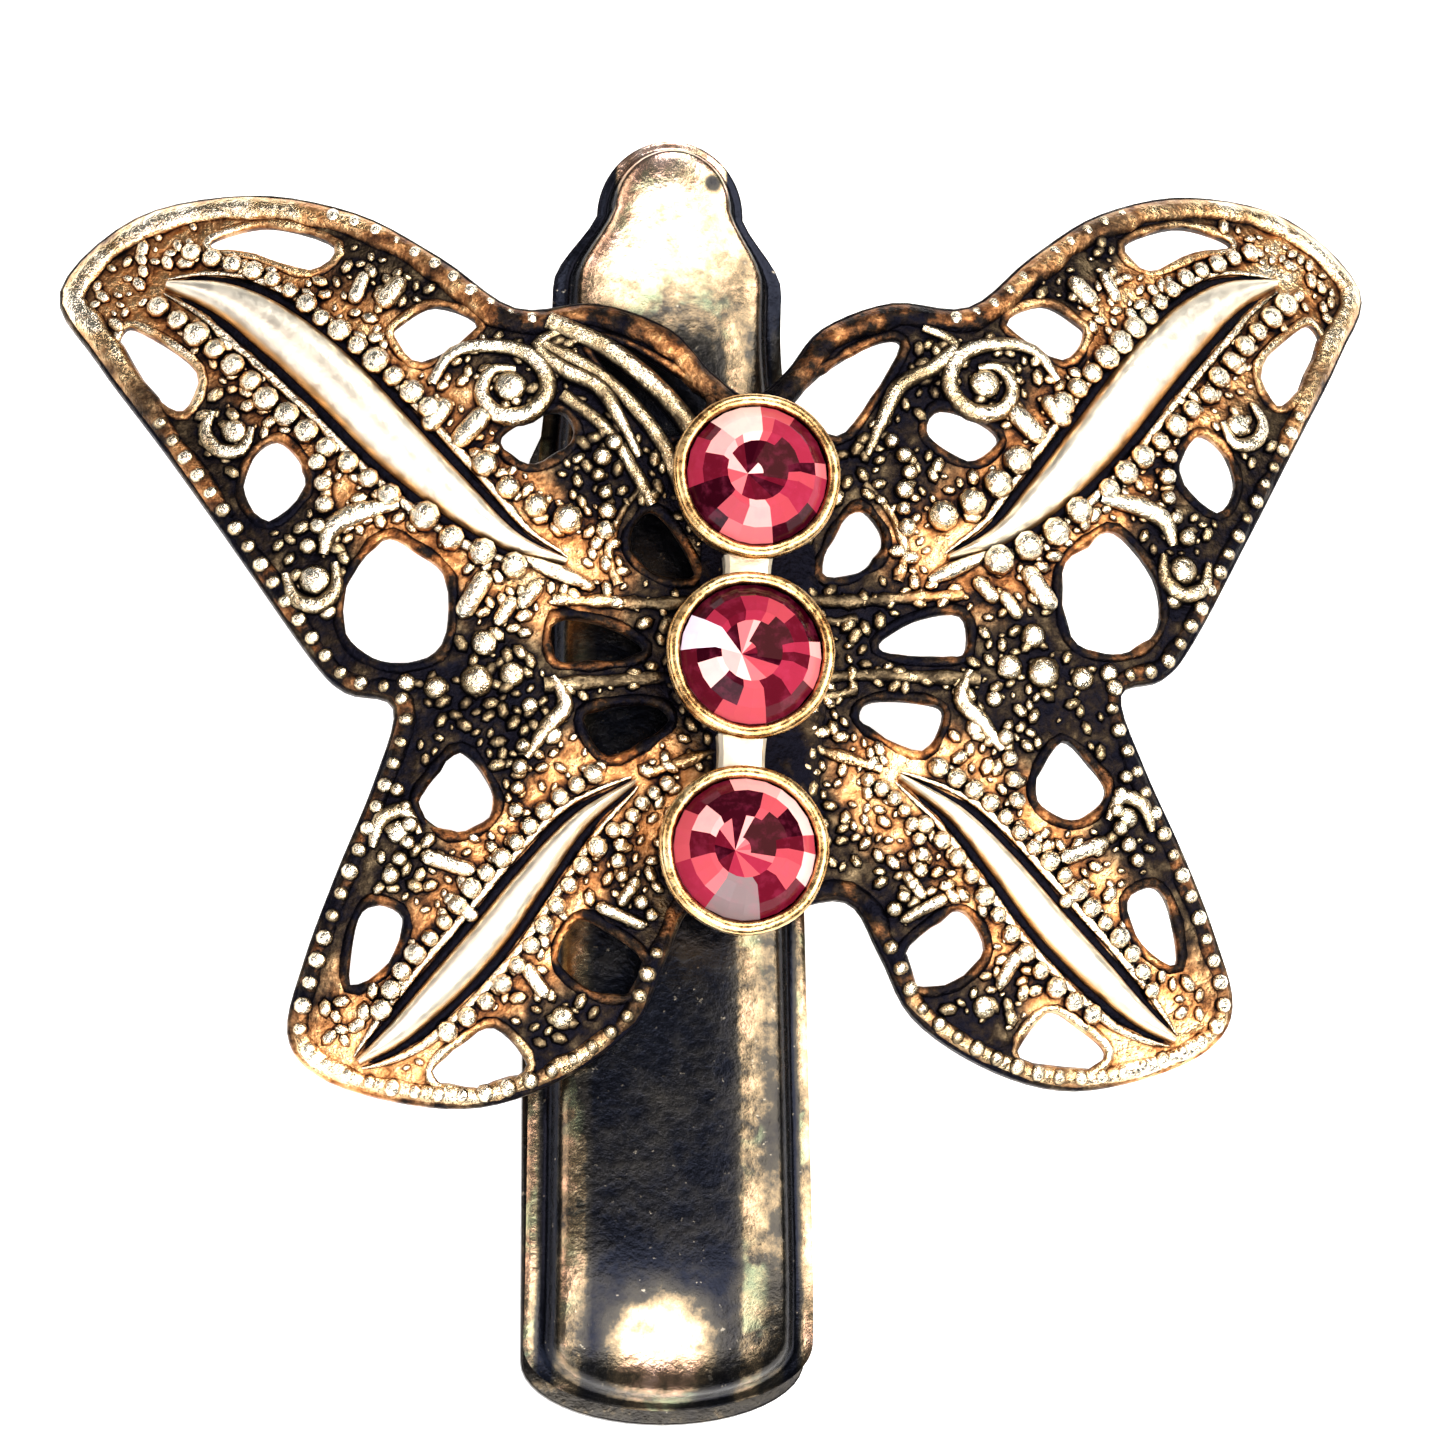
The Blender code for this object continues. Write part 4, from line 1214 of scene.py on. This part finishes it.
class HAIRCLIP_OT_stones(Operator):
    """Build the three faceted rose stones, coloured with painted reflections: the foiled pavilion seen
    through the crown, a glint on each stone and a dark reflection in the table
    """

    bl_idname = "hairclip.stones"
    bl_label = "Stones"

    def execute(self, context):
        # Painted reflections of the foiled pavilion, from near black to bright pink.
        reflection_tones = (
            (0.5, 0.07, 0.09), (0.64, 0.14, 0.155), (0.1, 0.003, 0.012), (0.02, 0.0, 0.003),
            (0.95, 0.36, 0.35), (0.3, 0.018, 0.045), (0.03, 0.001, 0.005), (1.0, 0.52, 0.5),
            (0.08, 0.003, 0.01), (0.42, 0.05, 0.07),
        )
        # Painted glints on the crown of each stone, and the direction each glint faces.
        painted_glints = {"top": (0.9, 0.55, 0.5), "middle": (0.95, 0.72, 0.9), "bottom": (0.22, 0.16, 0.165)}
        toward = {"top": 1.9, "middle": 2.9, "bottom": 4.5}
        wedges, table = 24, 1.35
        # A painted dark reflection in the table of each stone.
        dark, dark_reflection_centre, dark_reflection_radius = (0.04, 0.008, 0.01), (0.5, 0.35), 0.62
        rings = (
            (0.0, 2.96), (0.4, 2.96), (0.75, 2.955), (1.05, 2.95), (1.35, 2.94), (1.95, 2.52), (2.42, 2.02),
            (2.42, 1.6), (1.0, 0.9), (0.0, 0.5),
        )
        for index, (name, place) in enumerate(STONE_PLACES.items()):
            points, faces, colours = [], [], []
            for k, (radius, height) in enumerate(rings):
                drift = max(0.0, 1 - radius / table) if k < 5 else 0.0
                for j in range(wedges):
                    turn = math.tau * (j + 0.3 * noise.noise((j * 1.7, index * 3.1, 0.0))) / wedges
                    reach = max(radius, 0.003)
                    x, y = reach * math.cos(turn), reach * math.sin(turn)
                    points.append((-0.45 * drift + x, -0.2 * drift + y, height))
            for k in range(len(rings) - 1):
                for j in range(wedges):
                    a, b = k * wedges + j, k * wedges + (j + 1) % wedges
                    c, d = a + wedges, b + wedges
                    tier = (k > 2) + (k > 4) + (k > 5)
                    group = (j + tier) // (2, 2, 3, 2)[tier]
                    pick = noise.cell((group * 1.37 + 0.5, tier * 3.3 + 0.5, index * 5.1 + 0.5))
                    tone = reflection_tones[int(len(reflection_tones) * pick)]
                    middle = [sum(points[m][axis] for m in (a, b, c, d)) / 4 for axis in (0, 1)]
                    apart = math.cos(math.atan2(middle[1], middle[0]) - toward[name])
                    if 2 < k < 6 and apart > 0.94:
                        tone = painted_glints[name]
                    if k < 5 and math.dist(middle, dark_reflection_centre) < dark_reflection_radius:
                        tone = dark
                    for face in ((a, b, d), (a, d, c)):
                        faces.append(face)
                        colours.append(tone)
            mesh = bpy.data.meshes.new("stone_" + name)
            mesh.from_pydata(points, [], faces)
            layer = mesh.attributes.new("painted_facet_reflection", "FLOAT_COLOR", "CORNER")
            flat = []
            for tone in colours:
                flat += [*tone, 1.0] * 3
            layer.data.foreach_set("color", flat)
            tidy_normals(mesh, merge=0.01)
            settle(mesh, on_row(place))
            made = add_piece("gem_" + name, mesh, "glass", replaces=["stone_" + name])
            made.data.shade_flat()
        return {"FINISHED"}


def arm_point(column, row):
    """A point of the arm's upper skin, by share across and by (y, push of its round end, length)."""
    y, end, length = row
    steps = len(ARM_SECTION) - 1
    reach = max(abs(column), abs(end))
    if reach == 0.0:
        return Vector((0, y, crown_height(y)))
    across, along = column / reach, end / reach
    place = reach * steps
    low = min(int(place), steps - 1)
    part = place - low
    fraction = ARM_SECTION[low][0] * (1 - part) + ARM_SECTION[low + 1][0] * part
    drop = ARM_SECTION[low][1] * (1 - part) + ARM_SECTION[low + 1][1] * part
    x = arm_half_width(y) * fraction * across * math.sqrt(1 - along * along / 2)
    y += length * fraction * along * math.sqrt(1 - across * across / 2)
    return Vector((x, y, crown_height(y) - drop))


def arm_rows():
    steps = 26
    nose_y = BEAK_Y + NOSE_LENGTH
    head_y = TAB_Y - TAB_HEAD_RADIUS
    rows = [(nose_y, -(steps - i) / steps, NOSE_LENGTH) for i in range(steps)]
    count = 96
    rows += [(nose_y + (head_y - nose_y) * i / count, 0.0, 1.0) for i in range(count)]
    rows += [(head_y, i / steps, TAB_HEAD_RADIUS) for i in range(steps + 1)]
    return rows


def ear_outline(top_height, reach):
    arc = [math.pi + math.pi * i / 20 for i in range(21)]
    ring = [(EAR_RADIUS * math.cos(a), EAR_RADIUS * math.sin(a)) for a in arc]
    return ring + [(reach, top_height(reach)), (-reach, top_height(-reach))]


def ear_mesh(name, outline, side):
    """An ear with its pin hole, drawn as (Y, Z) about the pin and stood up at a distance across."""
    hole = [(PIN_HOLE_RADIUS * math.cos(a), PIN_HOLE_RADIUS * math.sin(a))
            for a in (math.tau * i / 28 for i in range(28))]
    mesh = flat_mesh(name, [outline, hole], 0.44, 0.06)
    turn = Matrix(((0, 0, 1, side), (1, 0, 0, 0), (0, 1, 0, PIN_Z), (0, 0, 0, 1)))
    mesh.transform(turn)
    return mesh


def joined(name, meshes):
    """One mesh from several."""
    bm = bmesh.new()
    for mesh in meshes:
        bm.from_mesh(mesh)
    made = bpy.data.meshes.new(name)
    bm.to_mesh(made)
    bm.free()
    return made


def rubbing_and_lighting(x, y):
    """How far the finish is worn through at a place on the upper arm, together with painted highlights on
    the nose and the shoulders, a partly painted reflection on the outer edge, and painted shade on the side
    walls and along the tab's edge.
    """
    across = abs(x) / max(arm_half_width(y), 0.5)
    face = 1 - smoothstep(0.76, 0.83, across)
    tab = smoothstep(5.0, 9.0, y)
    thumb = (0.32 + 0.14 * smoothstep(8.0, 11.5, y)) * tab * face
    # Painted highlight: a bright oval where the nose bends down.
    nose = 0.42 * (1 - smoothstep(0.4, 1.0, math.hypot((x + 0.4) / 2.6, (y + 28.2) / 3.0)))
    # Painted highlights along both shoulders, wider on the right side.
    right = 0.29 * smoothstep(0.4, 0.5, across) * (1 - 0.35 * smoothstep(0.6, 0.64, across))
    shoulder = (right if x > 0 else 0.26 * smoothstep(0.56, 0.64, across)) * face
    # The outer lip: partly wear, partly a painted reflection.
    lip_wear_and_sheen = 0.34 * smoothstep(0.88, 0.95, across) * (1 - tab)
    # Painted shade on the steep side walls and along the tab's edge.
    wall_shade = 0.3 * smoothstep(0.79, 0.83, across) * (1 - smoothstep(0.86, 0.9, across))
    wall_shade += 0.1 * tab * (1 - face)
    pit = 0.4 * (1 - smoothstep(0.15, 0.42, math.hypot(x - 1.4, y - 12.2)))
    return 0.12 + max(thumb, shoulder, nose) + lip_wear_and_sheen - wall_shade - pit


class HAIRCLIP_OT_upper_arm(Operator):
    """Build the stamped upper arm with its thumb tab and ears"""

    bl_idname = "hairclip.upper_arm"
    bl_label = "Upper arm"

    def execute(self, context):
        sheet = context.scene.clip_sizes.sheet / MM
        rows = arm_rows()
        half = 26
        columns = range(-half, half + 1)
        bm = bmesh.new()
        grid = [[bm.verts.new(arm_point(j / half, row)) for j in columns] for row in rows]
        for a, b in zip(grid, grid[1:]):
            for j in range(2 * half):
                bm.faces.new((a[j], a[j + 1], b[j + 1], b[j]))
        skin = bpy.data.meshes.new("upper arm skin")
        bm.to_mesh(skin)
        bm.free()
        holder = bpy.data.objects.new("upper arm skin", skin)
        solid = holder.modifiers.new("Sheet", "SOLIDIFY")
        solid.thickness = sheet
        solid.offset = -1
        plate = evaluated(holder)
        ears = []
        for side in (-1, 1):
            ring = ear_outline(lambda y: crown_height(y) - 0.5 - PIN_Z, EAR_HALF_LENGTH)
            ears.append(ear_mesh("upper ear", ring, side * UPPER_EAR_X))
        mesh = joined("upper_arm_sheet", [plate] + ears)
        store(mesh, "rubbed_and_lit", [rubbing_and_lighting(vertex.co.x, vertex.co.y) for vertex in mesh.vertices])
        settle(mesh, as_drawn)
        add_piece("upper_arm_sheet", mesh, "arm", replaces=["upper_arm"], sharp=50)
        return {"FINISHED"}


class HAIRCLIP_OT_lower_arm(Operator):
    """Build the flat lower arm with its tab and ears"""

    bl_idname = "hairclip.lower_arm"
    bl_label = "Lower arm"

    def execute(self, context):
        sheet = context.scene.clip_sizes.base_sheet / MM
        head = 2.1
        head_y = LOWER_TAB_Y - head
        nose_y = BEAK_Y - 0.4 + NOSE_LENGTH
        half = BEAK_HALF_WIDTH - 0.1
        nose = [math.radians(180 + 7.5 * i) for i in range(25)]
        ring = [(half * math.cos(a), nose_y + NOSE_LENGTH * math.sin(a)) for a in nose]
        side = [(4.6, -3.2), (4.6, 3.2), (4.35, 4.6), (3.9, 5.6), (3.3, 7.0), (2.9, 8.2)]
        crown = [math.radians(10 * i) for i in range(19)]
        arc = [(head * math.cos(a), head_y + head * math.sin(a)) for a in crown]
        outline = ring + side + arc + [(-x, y) for x, y in reversed(side)]
        base = flat_mesh("lower plate", [outline], sheet, 0.08)
        base.transform(Matrix.Translation((0, 0, sheet / 2)))
        ears = []
        for sign in (-1, 1):
            ring = ear_outline(lambda y: PIN_Z - sheet / 2, EAR_HALF_LENGTH)
            ears.append(ear_mesh("lower ear", [(y, -z) for y, z in ring], sign * LOWER_EAR_X))
        mesh = joined("lower_arm_sheet", [base] + ears)
        store(mesh, "rubbed_and_lit", [0.25] * len(mesh.vertices))
        settle(mesh, as_drawn)
        add_piece("lower_arm_sheet", mesh, "arm", "lower", ["lower_arm"])
        return {"FINISHED"}


class HAIRCLIP_OT_hinge(Operator):
    """Build the rivet and the torsion spring of the hinge"""

    bl_idname = "hairclip.hinge"
    bl_label = "Rivet and spring"

    def execute(self, context):
        end = 4.94
        half = ((0.0, end), (0.5, end - 0.01), (0.8, end - 0.06), (0.93, end - 0.14), (0.95, end - 0.22),
                (0.94, end - 0.28), (0.56, end - 0.28))
        profile = list(half) + [(r, -z) for r, z in reversed(half)]
        mesh = turned(profile, 40).mesh("hinge_rivet")
        settle(mesh, lambda p: Vector((p[2], p[1], -p[0] + PIN_Z)))
        add_piece("hinge_rivet", mesh, "steel", "lower", ["hinge_pin"], sharp=35)

        wire = context.scene.clip_sizes.wire / MM
        turns, per, reach, half_length, leg = 4.5, 28, 1.35, 1.5, 7.4
        total = int(turns * per)
        path = [(-half_length, leg, 0.89), (-half_length, 3.0, 0.89)]
        for i in range(total + 1):
            turn = -math.pi / 2 - math.tau * i / per
            place = half_length * (2 * i / total - 1)
            path.append((place, reach * math.cos(turn), PIN_Z + reach * math.sin(turn)))
        sheet, gap = 0.45, 0.36
        high = crown_height(leg) - sheet - wire - gap
        path += [(half_length, 3.0, PIN_Z + reach + 0.15), (half_length, leg, high)]
        line = [(*p, wire) for p in curved(path, 2)]
        mesh = path_mesh("spring path", [(False, 1.0, line)])
        mesh = grow("coil_spring", mesh, wire_tree(), "steel", Sides=10)
        settle(mesh, as_drawn)
        spring = add_piece("coil_spring", mesh, "steel", None, sharp=50)
        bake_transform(spring)
        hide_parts("torsion_spring")
        return {"FINISHED"}


class HAIRCLIP_OT_pads(Operator):
    """Build the solder pads that hold the butterfly on the arm"""

    bl_idname = "hairclip.pads"
    bl_label = "Solder pads"

    def execute(self, context):
        places = {"front": (1.3, -9.2), "rear": (1.3, 0.6)}
        low, high = 0.1, SEAT_LIFT - 0.1
        for name, (x, y) in places.items():
            profile = curved(((0.0, low), (0.9, low), (1.25, low + 0.06), (1.12, low + 0.3), (1.0, 0.7),
                              (1.1, high - 0.3), (1.25, high - 0.05), (0.9, high), (0.0, high)), 3)
            shape = turned(profile, 32)
            shape.points = [
                (a * (1 + 0.07 * noise.noise((a, b, x))), b * (1 + 0.07 * noise.noise((b, a, y))), c)
                for a, b, c in shape.points
            ]
            mesh = shape.mesh("solder_" + name)
            place = Matrix.Translation((x, y, crown_height(y))) @ Matrix.Rotation(ARM_SLOPE, 4, "X")
            settle(mesh, lambda p, place=place: place @ Vector(p))
            add_piece("solder_" + name, mesh, "solder", replaces=["solder_pad_" + name])
        return {"FINISHED"}


class HAIRCLIP_OT_stage(Operator):
    """Set up the pale table, the soft lights and the camera"""

    bl_idname = "hairclip.stage"
    bl_label = "Stage"

    def execute(self, context):
        scene = context.scene
        stage = scene.clip_stage
        bm = bmesh.new()
        bmesh.ops.create_grid(bm, x_segments=8, y_segments=8, size=0.6)
        mesh = bpy.data.meshes.new("table_top")
        bm.to_mesh(mesh)
        bm.free()
        mesh.transform(Matrix.Translation((0, 0, -0.0001)))
        mesh.materials.append(finish("floor"))
        table = bpy.data.objects.new("table_top", mesh)
        scene.collection.objects.link(table)

        world = bpy.data.worlds.new("soft surround")
        world.use_nodes = True
        back = world.node_tree.nodes["Background"]
        back.inputs["Color"].default_value = (0.95, 0.96, 1.0, 1.0)
        back.inputs["Strength"].default_value = stage.ambient
        scene.world = world

        aim = Vector((0.0017, -0.0068, 0.006))
        lamps = (
            ("front_softbox", 180.0, 60.0, 0.3, 0.2, 1.0, (1.0, 0.97, 0.93)),
            ("right_softbox", 92.0, 52.0, 0.32, 0.2, 1.0, (1.0, 0.95, 0.87)),
            ("rear_softbox", 12.0, 54.0, 0.34, 0.15, 0.5, (1.0, 0.97, 0.94)),
            ("left_softbox", 272.0, 48.0, 0.34, 0.15, 0.3, (1.0, 0.86, 0.8)),
            ("low_softbox", 215.0, 22.0, 0.36, 0.2, 0.35, (0.82, 0.9, 1.0)),
        )
        for name, bearing, height, distance, size, share, colour in lamps:
            light = bpy.data.lights.new(name, "AREA")
            light.shape = "SQUARE"
            light.size = size
            light.energy = stage.key * share
            light.color = colour
            lamp = bpy.data.objects.new(name, light)
            turn, lift = math.radians(bearing), math.radians(height)
            level = math.cos(lift)
            toward = Vector((math.sin(turn) * level, math.cos(turn) * level, math.sin(lift)))
            lamp.location = aim + toward * distance
            lamp.rotation_euler = toward.to_track_quat("Z", "Y").to_euler()
            scene.collection.objects.link(lamp)

        cos_e, sin_e = math.cos(stage.elevation), math.sin(stage.elevation)
        back = Vector((math.sin(stage.azimuth) * cos_e, -math.cos(stage.azimuth) * cos_e, sin_e))
        level = Vector((0, 0, 1)).cross(back).normalized()
        upright = back.cross(level)
        right = level * math.cos(stage.roll) + upright * math.sin(stage.roll)
        up = back.cross(right)
        lens = bpy.data.cameras.new("camera")
        lens.lens = stage.lens
        lens.sensor_width = 36.0
        lens.clip_start = 0.01
        camera = bpy.data.objects.new("camera", lens)
        turn = Matrix((right, up, back)).transposed().to_4x4()
        target = Vector((1.731, -6.759, 6.0)) * MM
        camera.matrix_world = Matrix.Translation(target + back * stage.distance) @ turn
        scene.collection.objects.link(camera)
        scene.camera = camera
        scene.view_settings.view_transform = "Standard"
        return {"FINISHED"}


class HAIRCLIP_PT_build(Panel):
    """Lists the settings and the pieces of the hair clip"""

    bl_label = "Butterfly hair clip"
    bl_idname = "HAIRCLIP_PT_build"
    bl_space_type = "VIEW_3D"
    bl_region_type = "UI"
    bl_category = "Hair clip"

    def draw(self, context):
        for settings in (context.scene.clip_sizes, context.scene.clip_looks, context.scene.clip_stage):
            box = self.layout.box()
            for name in settings.__annotations__:
                box.prop(settings, name)
        for operator in STEPS:
            self.layout.operator(operator.bl_idname)


STEPS = (
    HAIRCLIP_OT_stage, HAIRCLIP_OT_lower_arm, HAIRCLIP_OT_upper_arm, HAIRCLIP_OT_hinge, HAIRCLIP_OT_pads,
    HAIRCLIP_OT_wing_plate, HAIRCLIP_OT_wing_rims, HAIRCLIP_OT_leaves, HAIRCLIP_OT_beads,
    HAIRCLIP_OT_scrolls, HAIRCLIP_OT_grains, HAIRCLIP_OT_body, HAIRCLIP_OT_cups, HAIRCLIP_OT_stones,
)
SETTINGS = {"clip_sizes": ClipSizes, "clip_looks": ClipLooks, "clip_stage": StageSettings}


def register():
    for kind in (*SETTINGS.values(), *STEPS, HAIRCLIP_PT_build):
        bpy.utils.register_class(kind)
    for name, kind in SETTINGS.items():
        setattr(bpy.types.Scene, name, PointerProperty(type=kind))


def unregister():
    for name in SETTINGS:
        delattr(bpy.types.Scene, name)
    for kind in reversed((*SETTINGS.values(), *STEPS, HAIRCLIP_PT_build)):
        bpy.utils.unregister_class(kind)


def main():
    register()
    for step in STEPS:
        group, name = step.bl_idname.split(".")
        getattr(getattr(bpy.ops, group), name)()


if __name__ == "__main__":
    main()
